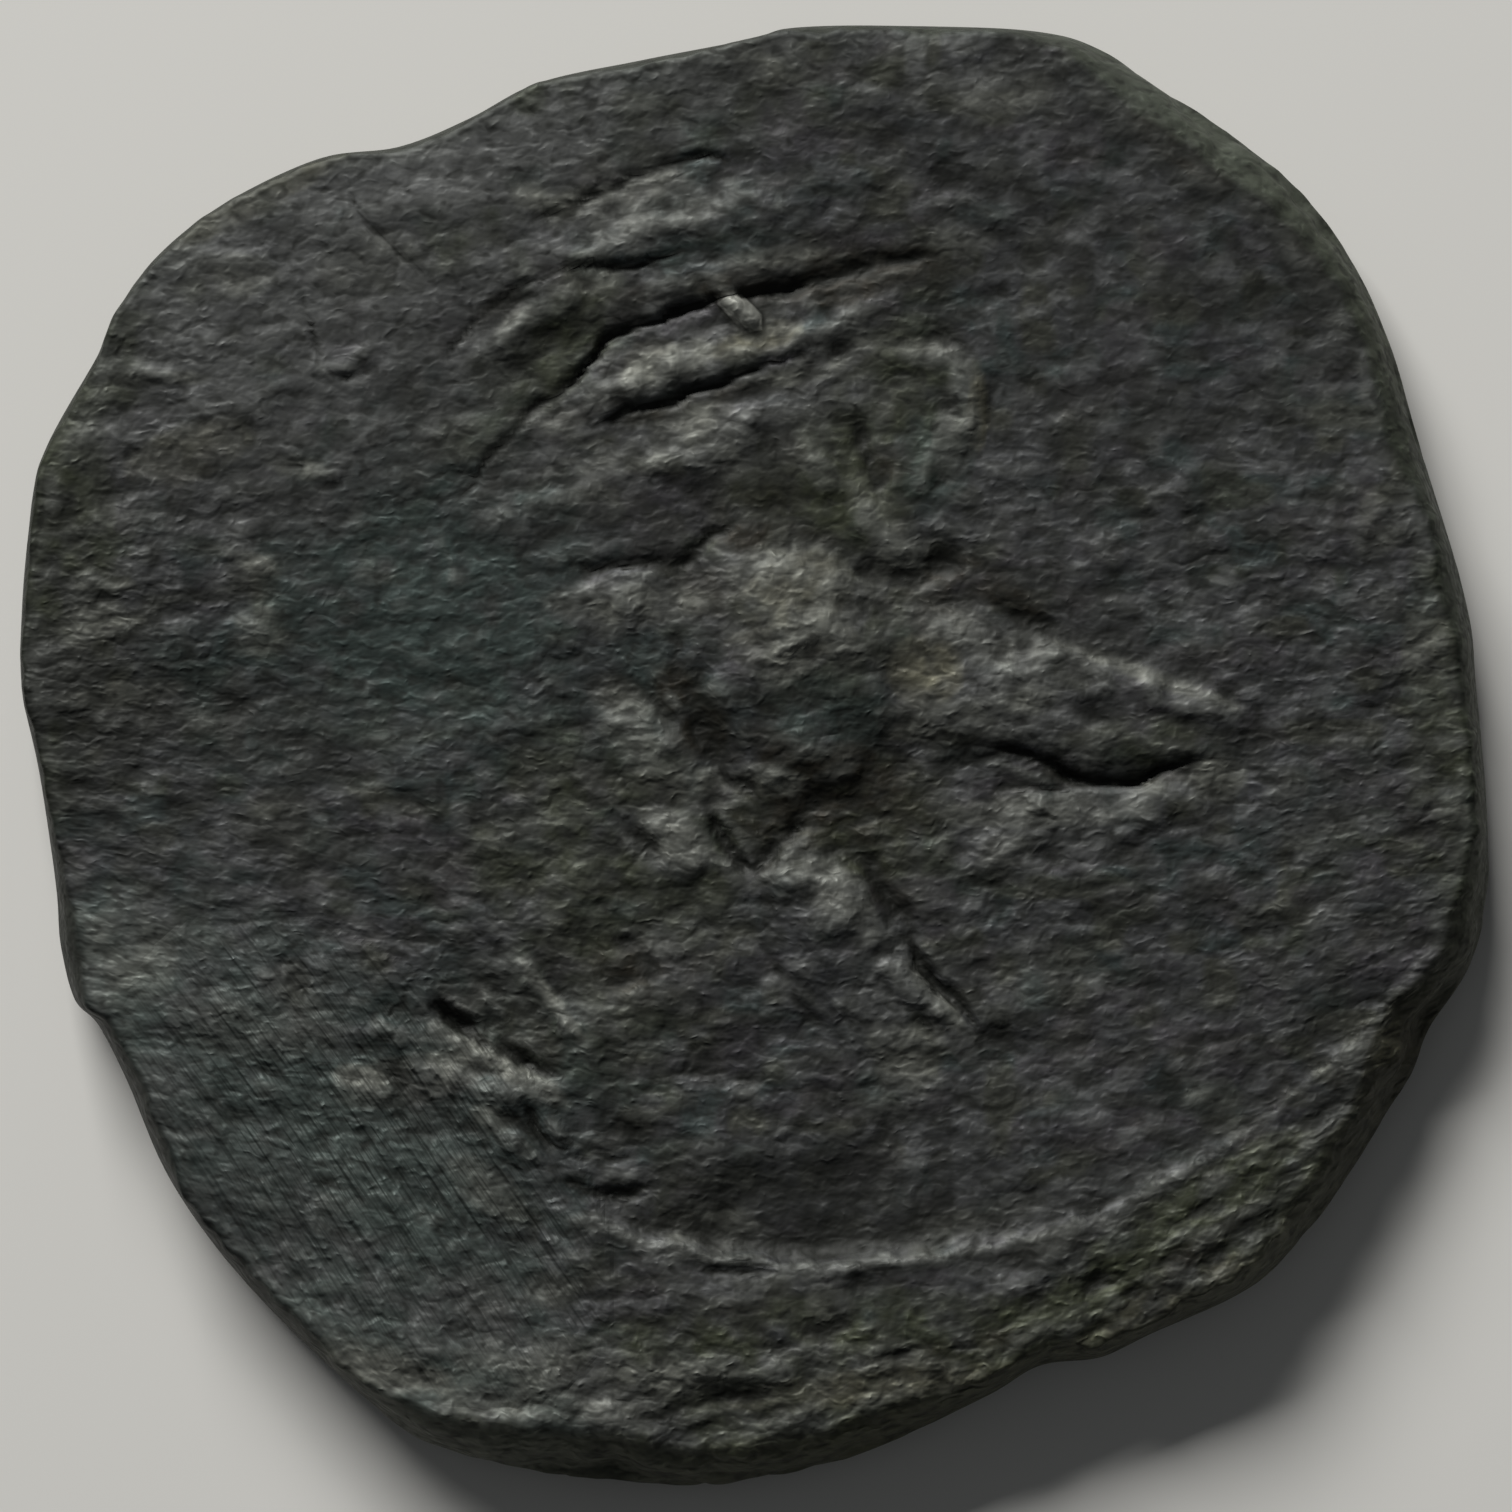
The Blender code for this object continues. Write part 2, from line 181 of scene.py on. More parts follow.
def pastLip(x, y):
    # how far beyond the lip a place lies, seen from above
    angle = np.arctan2(y, x)
    return np.hypot(x, y) - radiusAt(angle) + bandAt(angle)


# How every fold and crack is drawn along its line.
stroke = {
    'fade': 0.2,                 # of its length, over which it fades at either end
    'tip': 0.45,                 # its width at the tips, as a share of the middle's
    'uneven': [(30, 0.35)],      # how its width varies: size along it, share
    'thinnest': 0.35,            # a fold's slope never gets thinner than this share
    'backStart': 0.6,            # of half the slope's width, where the fall behind a fold starts
    'margin': 1.3,               # how much more than its reach is worked out
}

# The struck forms are folds and cracks along lines. A fold is a slope that climbs from the left of its
# line to the right, then dies away: half the width of the slope, the reach behind it, its height, and
# the points along the middle of the slope. Run from left to right, it faces up the sheet.
folds = {
    # the folds of the upper left, from the outermost in
    'outer': (24, 50, 0.13, [(-270, 468), (-235, 494), (-195, 506), (-145, 522), (-95, 542), (-35, 558),
                             (25, 556), (85, 546)]),
    'second': (14, 40, 0.11, [(-300, 380), (-262, 418), (-230, 446), (-201, 458), (-160, 466),
                              (-123, 472), (-61, 478), (0, 492), (64, 502)]),
    'third': (20, 30, 0.14, [(-222, 310), (-195, 336), (-166, 360), (-136, 378), (-107, 388),
                             (-78, 398), (-49, 403), (-10, 412), (9, 416), (38, 428), (60, 440), (89, 448),
                             (112, 456), (144, 463), (165, 470)]),
    'fourth': (20, 50, 0.09, [(-303, 218), (-278, 234), (-255, 246), (-215, 264), (-180, 276),
                              (-158, 283), (-136, 292), (-114, 302), (-92, 311), (-71, 317),
                              (-49, 327), (-23, 340), (2, 348), (38, 362), (70, 372)]),
    'fourthLip': (8, 15, 0.04, [(-121, 290), (-92, 294), (-71, 297), (-50, 288)]),
    'leftHook': (8, 12, 0.04, [(-303, 230), (-299, 196), (-289, 160)]),
    'fifth': (20, 46, 0.11, [(-195, 160), (-151, 170), (-121, 170), (-92, 162)]),
    # the arm to the upper right and its loop
    'armRidge': (16, 22, 0.11, [(98, 290), (112, 268), (122, 252), (134, 226), (150, 210), (172, 212)]),
    'armLeft': (16, 26, 0.06, [(40, 350), (62, 318), (80, 280), (88, 240)]),
    'loop': (11, 22, 0.11, [(96, 396), (140, 402), (162, 408), (184, 404), (200, 397), (213, 386),
                            (224, 357), (224, 335), (209, 317), (191, 300)]),
    'loopTail': (12, 16, 0.05, [(191, 310), (180, 280), (170, 250)]),
    # the leaf to the right
    'shoulder': (26, 60, 0.06, [(160, 140), (185, 134), (215, 120), (250, 104), (290, 92)]),
    'leafTop': (10, 40, 0.09, [(252, 122), (266, 120), (300, 106), (350, 90), (390, 78), (433, 67),
                               (470, 52), (515, 34)]),
    'leafTopSecond': (8, 20, 0.06, [(330, 90), (357, 82), (400, 66), (440, 48), (471, 37)]),
    'leafRim': (8, 18, 0.05, [(240, 98), (270, 88), (310, 74), (345, 64)]),
    'leafSliver': (6, 9, 0.05, [(222, -8), (250, -9), (275, -17), (305, -24)]),
    'leafBank': (20, 70, 0.13, [(205, -66), (237, -53), (266, -43), (300, -41), (341, -45),
                                (383, -41), (403, -32), (436, -24), (470, -14)]),
    'bankRidge': (9, 18, 0.04, [(208, -80), (233, -81), (246, -97), (279, -105), (320, -109)]),
    'rightMark': (9, 14, 0.04, [(418, -134), (440, -122), (470, -116)]),
    # the boss and what is round it
    'bossTop': (36, 70, 0.10, [(-24, 158), (-2, 170), (24, 176), (48, 168), (70, 150), (88, 126),
                               (94, 100)]),
    'bossStreak': (9, 16, 0.05, [(-25, -8), (5, -6), (38, -14)]),
    'leftPatch': (16, 40, 0.08, [(-150, 36), (-120, 42), (-92, 26), (-66, -4)]),
    'leftArm': (22, 34, 0.11, [(-120, -70), (-95, -60), (-70, -66), (-50, -96), (-40, -118)]),
    'veeTongue': (8, 10, 0.04, [(-28, -50), (-18, -80), (-8, -104)]),
    # the wedge under the boss
    'wedgeTop': (30, 70, 0.12, [(-8, -130), (15, -114), (40, -98), (66, -94), (90, -110), (106, -140),
                                (124, -176)]),
    'wedgeStripe': (8, 12, 0.05, [(15, -118), (45, -115), (84, -124)]),
    'wedgeRidge': (12, 18, 0.12, [(128, -196), (145, -213), (165, -232), (186, -250), (206, -266)]),
    'wedgeLine': (11, 16, 0.07, [(130, -240), (150, -258), (176, -276), (212, -292)]),
    'lower': (13, 26, 0.12, [(-385, -258), (-365, -266), (-340, -278), (-300, -306), (-262, -326),
                             (-200, -352)]),
    'lowerRagged': (12, 20, 0.08, [(-205, -350), (-180, -372), (-150, -380), (-118, -372)]),
    'lowerSecond': (11, 18, 0.06, [(-268, -346), (-250, -366), (-235, -381), (-205, -394)]),
    'lowerBlob': (16, 18, 0.10, [(-420, -322), (-400, -316), (-378, -320), (-350, -334)]),
    'lowerKnob': (14, 18, 0.08, [(-300, -350), (-270, -352), (-240, -370), (-222, -392)]),
    'lowerTooth': (9, 12, 0.10, [(-234, -196), (-222, -212), (-205, -234), (-185, -258), (-165, -284)]),
    'lowerToothSecond': (8, 10, 0.06, [(-270, -222), (-256, -240), (-240, -260)]),
    'markOne': (10, 14, 0.05, [(-448, 292), (-430, 286), (-408, 281)]),
    'markTwo': (9, 14, 0.05, [(-525, 212), (-498, 200), (-472, 182)]),
    'markThree': (9, 14, 0.05, [(-515, 138), (-496, 134), (-470, 120)]),
    'markFour': (8, 12, 0.05, [(-680, 176), (-660, 180), (-634, 172), (-618, 166)]),
    'markFive': (9, 12, 0.05, [(-672, 140), (-650, 144), (-620, 158)]),
    'markSix': (8, 12, 0.04, [(-668, 124), (-644, 128), (-612, 134)]),
    'markSeven': (9, 14, 0.05, [(-530, 496), (-500, 500), (-470, 494)]),
    'markEight': (10, 16, 0.05, [(-620, 384), (-590, 388), (-560, 380)]),
    'markNine': (9, 14, 0.04, [(-440, 404), (-412, 390), (-395, 402), (-360, 410)]),
    # the lip over the bottom edge
    'bottomLip': (15, 34, 0.14, [(-420, -596), (-390, -612), (-340, -630), (-265, -652), (-205, -652),
                                 (-145, -650), (-80, -662)]),
}

# A crack: its reach to the left of its line and to the right, its depth, and its points.
cracks = {
    'outer': (7, 8, 0.08, [(-255, 516), (-220, 533), (-187, 544), (-143, 562), (-100, 581),
                            (-78, 588), (-27, 593), (20, 586)]),
    'outerEnd': (22, 18, 0.045, [(110, 580), (160, 574), (215, 566), (300, 532), (360, 500)]),
    'second': (7, 7, 0.10, [(-318, 378), (-305, 396), (-275, 431), (-245, 458), (-212, 473),
                             (-185, 484), (-154, 487), (-121, 485), (-100, 492), (-65, 499), (-35, 499)]),
    'thirdLeft': (8, 7, 0.10, [(-305, 231), (-289, 259), (-271, 288), (-241, 317), (-216, 346),
                               (-187, 364), (-161, 390), (-136, 412)]),
    'third': (8, 6, 0.16, [(-216, 346), (-187, 364), (-161, 390), (-136, 412), (-114, 426), (-92, 434),
                             (-71, 441), (-49, 448), (-34, 452), (-9, 455), (17, 459), (60, 466),
                             (89, 472)]),
    'thirdRight': (18, 11, 0.13, [(-20, 458), (17, 460), (60, 467), (89, 473), (120, 484), (160, 490),
                                  (195, 496)]),
    'fourth': (7, 6, 0.11, [(-205, 310), (-187, 318), (-165, 328), (-143, 338), (-121, 345),
                            (-100, 347), (-78, 351), (-56, 358), (-34, 367), (-16, 377), (2, 385),
                            (24, 394), (50, 402), (75, 412)]),
    'fieldLineOne': (6, 5, 0.05, [(-403, 568), (-384, 529), (-345, 490), (-318, 470)]),
    'fieldLineTwo': (6, 6, 0.06, [(-454, 490), (-438, 428), (-423, 389), (-403, 374), (-376, 382),
                                  (-353, 405)]),
    'fifth': (10, 8, 0.10, [(-195, 179), (-165, 181), (-136, 183), (-114, 186), (-92, 190),
                            (-71, 194), (-49, 208), (-27, 226), (-10, 240)]),
    'arm': (20, 16, 0.10, [(60, 362), (78, 345), (95, 326), (108, 303), (122, 274)]),
    'pocket': (26, 18, 0.10, [(112, 300), (122, 284), (128, 262)]),
    'loopMoat': (10, 6, 0.05, [(165, 420), (192, 418), (214, 406), (232, 384)]),
    'leaf': (10, 7, 0.15, [(206, 10), (242, 6), (271, -2), (300, -10), (320, -22), (349, -29),
                           (383, -29), (407, -16), (432, -6), (465, -2)]),
    'leafSecond': (6, 6, 0.08, [(230, -31), (266, -33), (300, -31), (326, -29)]),
    'bossUnder': (46, 28, 0.10, [(-5, -40), (30, -50), (60, -52), (95, -44), (125, -50)]),
    'bossUnderLeft': (44, 16, 0.14, [(-74, 140), (-76, 100), (-66, 60), (-48, 12), (-14, -30),
                                     (38, -62)]),
    'shoulderPitA': (30, 24, 0.13, [(168, 204), (190, 190), (212, 184)]),
    'shoulderPitB': (18, 14, 0.07, [(225, 150), (262, 138), (300, 122)]),
    'veeLeft': (16, 12, 0.13, [(-52, -46), (-36, -78), (-20, -100), (-8, -122)]),
    'veeRight': (15, 12, 0.14, [(-8, -122), (14, -100), (36, -82), (60, -70)]),
    'wedgeUpper': (24, 20, 0.10, [(100, -92), (118, -112), (134, -143), (150, -180), (165, -206)]),
    'wedge': (15, 10, 0.16, [(146, -184), (160, -205), (175, -222), (196, -245), (213, -267), (232, -292)]),
    'wedgeLeft': (9, 10, 0.03, [(10, -190), (30, -216), (62, -236), (90, -262), (120, -286)]),
    'lower': (20, 14, 0.17, [(-326, -238), (-304, -258), (-280, -280), (-250, -298), (-222, -310),
                             (-180, -322)]),
    'lowerSecond': (10, 9, 0.08, [(-238, -336), (-215, -362), (-195, -386), (-155, -396), (-110, -400)]),
    'lowerPit': (16, 16, 0.10, [(-175, -215), (-140, -225), (-112, -222), (-96, -246)]),
    'lowerCurl': (12, 12, 0.08, [(-160, -180), (-128, -186), (-104, -204), (-96, -232)]),
    'lowerThird': (14, 12, 0.09, [(-200, -420), (-170, -432), (-130, -436), (-90, -428)]),
    'lowerSnag': (12, 12, 0.08, [(-70, -500), (-40, -512), (0, -512), (40, -506)]),
    'leftNick': (7, 7, 0.05, [(-488, 292), (-458, 284), (-420, 300)]),
    'edgeHollow': (34, 40, 0.05, [(340, 596), (430, 548), (500, 486), (540, 420), (562, 352)]),
}

# Broad forms with a round back: middle, half length, half width, turn in degrees, height, and how
# blunt the back is, from 0.5 for a full dome up to 2 for a soft swell.
mounds = {
    'boss': ((26, 84), 156, 110, 98, 0.18, 1.0),
    'bossHead': ((36, 130), 80, 70, 80, 0.06, 0.9),
    'neck': ((68, 262), 70, 34, 118, 0.08, 0.9),
    'leftRidge': ((-98, -4), 86, 40, -50, 0.07, 0.9),
    'leaf': ((330, 42), 172, 60, -6, 0.13, 0.7),
    'leafBelly': ((378, 10), 72, 26, 2, 0.05, 0.8),
    'leafRoot': ((175, 72), 120, 78, -12, 0.13, 1.0),
    'lobe': ((176, 336), 88, 52, 62, 0.05, 0.7),
    'chip': ((-14, 444), 27, 14, -38, 0.14, 0.7),
    'wedge': ((88, -190), 130, 66, -54, 0.14, 0.75),
    'lowerHole': ((-298, -260), 26, 15, -34, -0.12, 0.8),
    'middleLow': ((70, -455), 190, 62, 2, -0.07, 1.3),
    'lowerLeftSwell': ((-330, -560), 230, 110, -32, 0.12, 1.3),
    'leftRise': ((-600, -200), 130, 90, -60, 0.06, 1.3),
    'leftHollow': ((-560, 30), 190, 80, 10, -0.05, 1.3),
    'upperLeftField': ((-360, 420), 260, 150, 40, 0.05, 1.3),
    'pocket': ((150, 190), 60, 30, 20, -0.09, 1.0),
    'edgeLumpOne': ((560, -455), 60, 30, 50, 0.07, 1.0),
    'edgeLumpTwo': ((468, -520), 70, 26, 35, 0.06, 1.0),
    'edgeLumpThree': ((330, -560), 80, 26, 25, 0.06, 1.0),
    'edgeLumpFour': ((130, -630), 90, 30, 12, 0.06, 1.0),
    'edgeLumpFive': ((-60, -600), 110, 40, -4, 0.05, 1.0),
}

# The corroded skin, as lumps down to the size that the mesh can hold.
skin = {
    # size in units, height in mm, how much longer along the grain
    'lumps': [(80, 0.034, 1.2), (38, 0.022, 1.4), (21, 0.016, 1.5), (12, 0.009, 1.6)],
    # where it is rougher, or smoother: middle, half length, half width, turn, change
    'coarse': [
        ((400, -540), 380, 100, 33, 0.75), ((40, -640), 340, 90, 2, 0.75), ((640, -290), 110, 50, 62, 0.8),
        ((20, -100), 380, 330, 0, 0.4), ((-300, -400), 330, 230, -40, 0.5), ((560, 60), 200, 420, 0, 0.15),
        ((-600, 200), 130, 260, 0, 0.25), ((430, 470), 340, 200, -42, -0.35),
        ((-420, 430), 260, 170, 45, -0.2), ((-80, 600), 330, 90, 8, -0.15),
    ],
    # flakes that lie askew: middle, half length, half width, turn, then how they run and their height
    'flakes': [
        ((400, -540), 380, 95, 33, 30, 0.029), ((60, -640), 330, 80, 2, 14, 0.023),
        ((-130, 390), 260, 120, 30, 30, 0.012), ((-110, -60), 110, 150, 0, -35, 0.012),
        ((320, 40), 180, 90, 0, -14, 0.010), ((80, -180), 130, 90, -50, -40, 0.010),
    ],
    'flakeSize': 13,
    'flakeStretch': 3.2,
    'blunt': 0.6,                # how these places fade towards their borders
    # the hammered grain runs level across the top and sags at both sides lower down
    'grainMiddle': 60,
    'sag': (0.0003, 0.0002),     # left and right of the middle, by the square of the distance
    'sagFrom': (260, -500),      # the heights on the sheet between which the sag grows
    'tilt': 0.06,
}

# Wear pulls the struck forms about and lowers them unevenly: size in units, reach or share.
wear = {
    'pullX': [(46, 5), (19, 3)],
    'pullY': [(46, 3.5), (19, 2.5)],
    'left': 0.7,                 # of the struck height, on average
    'uneven': [(40, 0.3), (16, 0.25)],
}

# What is left of the die's border, a step that rises outward across the lower right. Its angles are
# degrees from +X round its own middle, its places are units outward from its line, and its heights mm.
border = {
    'middle': (74, 212),
    'radius': 706,
    'start': (244, 260),         # it fades in and out between these angles
    'end': (335, 313),
    'sharp': (292, 270),         # it is a soft slope at the first angle, a sharp step at the second
    'high': (314, 284),          # it is low at the first angle, full at the second
    'lowShare': 0.22,
    'rise': 0.10,
    'uneven': [(44, 0.4)],
    'sharpSlope': (-6, 16),
    'softSlope': (-40, 60),
    'fallBack': (220, 40),
    'lip': (10, 10, 0.065),      # place, width, height
    'lipUneven': [(30, 0.2)],
    'hollow': (-8, 26, 0.06),    # place, width, depth
}


def nearestOnPath(x, y, path):
    gap = np.full(x.shape, 1e9)
    side = np.zeros(x.shape)
    way = np.zeros(x.shape)
    for index, (start, run) in enumerate(zip(path[:-1], np.diff(path, axis=0))):
        ox = x - start[0]
        oy = y - start[1]
        share = np.clip((ox * run[0] + oy * run[1]) / (run @ run + 1e-9), 0.0, 1.0)
        here = np.hypot(ox - share * run[0], oy - share * run[1])
        nearer = here < gap
        gap = np.where(nearer, here, gap)
        side = np.where(nearer, run[0] * oy - run[1] * ox, side)
        way = np.where(nearer, (index + share) / (len(path) - 1), way)
    return gap, side, way


def alongStroke(x, y, reach, points):
    # the places near a stroke, how far each lies to its left, how it fades at the ends and its width
    path = smoothPath(points)
    low = path.min(axis=0) - reach
    high = path.max(axis=0) + reach
    near = (x > low[0]) & (x < high[0]) & (y > low[1]) & (y < high[1])
    gap, side, way = nearestOnPath(x[near], y[near], path)
    ends = softStep(0.0, stroke['fade'], way) * softStep(1.0, 1.0 - stroke['fade'], way)
    length = np.hypot(*np.diff(path, axis=0).T).sum()
    uneven = layered(way * length, 0 * way + points[0][0], stroke['uneven'], seeds['stroke'])
    width = (stroke['tip'] + (1.0 - stroke['tip']) * np.sin(math.pi * way)) * (1.0 + uneven)
    return near, gap * np.sign(side), ends, width


def foldHeight(x, y, halfSlope, behind, height, points):
    near, left, ends, width = alongStroke(x, y, stroke['margin'] * (halfSlope + behind), points)
    total = np.zeros(x.shape)
    halfSlope = halfSlope * (stroke['thinnest'] + (1.0 - stroke['thinnest']) * width)
    total[near] = height * ends * softStep(halfSlope, -halfSlope, left) * softStep(
        -halfSlope - behind, -stroke['backStart'] * halfSlope, left)
    return total


def crackHeight(x, y, leftReach, rightReach, depth, points):
    near, left, ends, width = alongStroke(x, y, stroke['margin'] * max(leftReach, rightReach), points)
    reaches = np.where(left > 0, leftReach, rightReach) * width
    total = np.zeros(x.shape)
    total[near] = -depth * ends * np.minimum(width, 1.0) * np.clip(
        1.0 - (left / reaches) ** 2, 0.0, 1.0) ** 2
    return total


def moundShare(x, y, middle, halfLength, halfWidth, turn):
    angle = math.radians(turn)
    along = (x - middle[0]) * math.cos(angle) + (y - middle[1]) * math.sin(angle)
    across = (y - middle[1]) * math.cos(angle) - (x - middle[0]) * math.sin(angle)
    return np.clip(1.0 - (along / halfLength) ** 2 - (across / halfWidth) ** 2, 0.0, 1.0)


def borderHeight(x, y):
    ox = x - border['middle'][0]
    oy = y - border['middle'][1]
    outward = np.hypot(ox, oy) - border['radius']
    angle = np.degrees(np.arctan2(oy, ox)) % 360
    ends = softStep(*border['start'], angle) * softStep(*border['end'], angle)
    sharp = softStep(*border['sharp'], angle)
    slope = sharp * softStep(*border['sharpSlope'], outward) + (1 - sharp) * softStep(
        *border['softSlope'], outward)
    full = border['lowShare'] + (1 - border['lowShare']) * softStep(*border['high'], angle)
    full = full + layered(x, y, border['uneven'], seeds['border'])
    rise = border['rise'] * softStep(*border['fallBack'], outward) * slope * full
    lipPlace, lipWidth, lipHeight = border['lip']
    lip = lipHeight * (sharp + layered(x, y, border['lipUneven'], seeds['borderLip']))
    lip = lip * np.exp(-((outward - lipPlace) / lipWidth) ** 2)
    hollowPlace, hollowWidth, hollowDepth = border['hollow']
    hollow = hollowDepth * np.exp(-((outward - hollowPlace) / hollowWidth) ** 2) * (outward < lipPlace)
    return ends * (rise + lip - hollow)


def grainPlace(x, y):
    side = x - skin['grainMiddle']
    sag = np.where(side < 0, *skin['sag']) * softStep(*skin['sagFrom'], y)
    return x, y - sag * side ** 2 - skin['tilt'] * x


def coarseAt(x, y):
    return 1.0 + sum(patch[-1] * moundShare(x, y, *patch[:-1]) ** skin['blunt'] for patch in skin['coarse'])


def crumble(x, y):
    # the lumps that corrosion left, and the flakes between them
    total = layered(*grainPlace(x, y), skin['lumps'], seeds['skin']) * coarseAt(x, y)
    for seed, (*place, run, height) in enumerate(skin['flakes'], seeds['flakes']):
        share = moundShare(x, y, *place) ** skin['blunt']
        along = x * math.cos(math.radians(run)) + y * math.sin(math.radians(run))
        across = y * math.cos(math.radians(run)) - x * math.sin(math.radians(run))
        total += height * share * grain(along, across, skin['flakeSize'], seed, skin['flakeStretch'])
    return total


def reliefHeight(x, y):
    wornX = x + layered(x, y, wear['pullX'], seeds['pullX'])
    wornY = y + layered(x, y, wear['pullY'], seeds['pullY'])
    kept = wear['left'] + layered(x, y, wear['uneven'], seeds['wear'])
    total = borderHeight(wornX, wornY)
    for values in folds.values():
        total = total + kept * foldHeight(wornX, wornY, *values)
    for values in cracks.values():
        total = total + kept * crackHeight(wornX, wornY, *values)
    for *place, height, blunt in mounds.values():
        total = total + height * moundShare(wornX, wornY, *place) ** blunt
    return total + crumble(x, y)


def faceHeight(x, y):
    share = np.hypot(x, y) / radiusAt(np.arctan2(y, x))
    field = blank['rimHeight'] - blank['fieldSink'] * softStep(*blank['fieldSlope'], share)
    return field + reliefHeight(x, y)


def wallPlace(angle, share):
    # a place on the edge, from the lip at share 0 to the foot at 1
    band = bandAt(angle)
    edge = radiusAt(angle)
    lip = edge - band
    lipHeight = faceHeight(lip * np.cos(angle), lip * np.sin(angle))
    steps = len(blank['wall'])
    outward = [lip + band * out for out, up in blank['wall']] + [edge - blank['footInset'] / unit]
    heights = [blank['footLift'] + up * (lipHeight - blank['footLift']) for out, up in blank['wall']]
    heights.append(np.full(angle.shape, blank['footLift']))
    place = share * steps
    first = min(int(place), steps - 1)
    part = place - first
    radius = outward[first] * (1 - part) + outward[first + 1] * part
    height = heights[first] * (1 - part) + heights[first + 1] * part
    return radius, height


# The underside isn't in the photo: a worn ring and cross, flat where the coin rests on them, in mm.
reverse = {
    'sink': 0.08,                # how far the ground between them lies above the floor
    'ringRadius': 6.4,
    'lineWidth': 0.9,
    'crossSpan': 10.4,
    'hubRadius': 1.5,
    'slope': 0.35,
}


def reverseHeight(x, y):
    x, y = x * unit, y * unit
    distance = np.hypot(x, y)
    half = reverse['lineWidth'] / 2
    gaps = [np.abs(distance - reverse['ringRadius']) - half, distance - reverse['hubRadius']]
    for along, across in ((x, y), (y, x)):
        gaps.append(np.maximum(np.abs(across) - half, np.abs(along) - reverse['crossSpan'] / 2))
    return reverse['sink'] * softStep(0.0, reverse['slope'], np.minimum.reduce(gaps))


def readPlaces(piece):
    places = np.empty(len(piece.data.vertices) * 3)
    piece.data.vertices.foreach_get('co', places)
    return places.reshape(-1, 3)


def writePlaces(piece, places):
    piece.data.vertices.foreach_set('co', places.ravel())
    piece.data.update()


def selected(piece):
    flags = np.empty(len(piece.data.vertices), bool)
    piece.data.vertices.foreach_get('select', flags)
    return flags


def editMode(on):
    bpy.ops.object.mode_set(mode='EDIT' if on else 'OBJECT')


def selectBorders():
    bpy.ops.mesh.select_mode(type='EDGE')
    bpy.ops.mesh.select_all(action='DESELECT')
    bpy.ops.mesh.select_non_manifold(extend=False, use_wire=False, use_boundary=True,
                                     use_multi_face=False, use_non_contiguous=False, use_verts=False)


def addSheet(name, rings, edgeRadius):
    # a square grid spread over the coin, as rings that follow its outline
    bpy.ops.object.select_all(action='DESELECT')
    bpy.ops.mesh.primitive_grid_add(x_subdivisions=2 * rings, y_subdivisions=2 * rings, size=2.0)
    sheet = bpy.context.active_object
    sheet.name = name
    places = readPlaces(sheet)
    x, y = places[:, 0], places[:, 1]
    wide = np.abs(x) >= np.abs(y)
    signed = np.where(wide, x, y)
    safe = np.where(np.abs(signed) < 1e-6, 1.0, signed)
    turn = np.where(wide, math.pi / 4 * y / safe, math.pi / 2 - math.pi / 4 * x / safe)
    out = np.column_stack([signed * np.cos(turn), signed * np.sin(turn)])
    out *= edgeRadius(np.arctan2(out[:, 1], out[:, 0]))[:, None]
    places[:, :2] = out
    writePlaces(sheet, places)
    return sheet


def makeBlank():
    face = addSheet('penny_detail', blank['faceRings'], lambda angle: radiusAt(angle) - bandAt(angle))
    places = readPlaces(face)
    places[:, 2] = faceHeight(places[:, 0], places[:, 1])
    writePlaces(face, places)
    print('struck face raised')

    rows = blank['wallRows']
    for row in range(rows):
        editMode(True)
        selectBorders()
        bpy.ops.mesh.extrude_edges_move()
        editMode(False)
        places = readPlaces(face)
        ring = selected(face)
        angle = np.arctan2(places[ring, 1], places[ring, 0])
        radius, height = wallPlace(angle, (row + 1) / rows)
        fade = math.sin(math.pi * (row + 1) / rows)
        down = blank['lumpRow'] * row + 0 * angle
        band = bandAt(angle)
        swell = fade * band * softStep(*blank['lumpyBand'], band) * layered(
            blank['meanRadius'] * angle, down, blank['wallLumps'], seeds['wallLumps'])
        radius = np.minimum(radius + blank['lumpDepth'] * swell, radiusAt(angle))
        height += blank['lumpLift'] * swell
        places[ring] = np.column_stack([radius * np.cos(angle), radius * np.sin(angle), height])
        writePlaces(face, places)
    print('edge drawn down')

    foot = blank['footInset'] / unit
    under = addSheet('underside', blank['reverseRings'],
                     lambda angle: blank['reverseShare'] * (radiusAt(angle) - foot))
    places = readPlaces(under)
    places[:, 2] = reverseHeight(places[:, 0], places[:, 1])
    writePlaces(under, places)
    editMode(True)
    bpy.ops.mesh.select_all(action='SELECT')
    bpy.ops.mesh.flip_normals()
    editMode(False)
    face.select_set(True)
    bpy.context.view_layer.objects.active = face
    bpy.ops.object.join()
    editMode(True)
    selectBorders()
    bpy.ops.mesh.bridge_edge_loops()
    bpy.ops.mesh.select_all(action='SELECT')
    bpy.ops.mesh.quads_convert_to_tris()
    bpy.ops.mesh.normals_make_consistent(inside=False)
    editMode(False)
    print('underside closed:', len(face.data.polygons), 'triangles')
    return face


def smoothOver(values, ends, rounds):
    # averages values over the mesh's edges, a little further each round
    for _ in range(rounds):
        total = np.bincount(ends[:, 0], values[ends[:, 1]], len(values))
        total += np.bincount(ends[:, 1], values[ends[:, 0]], len(values))
        values = total / np.bincount(ends.ravel(), minlength=len(values))
    return values
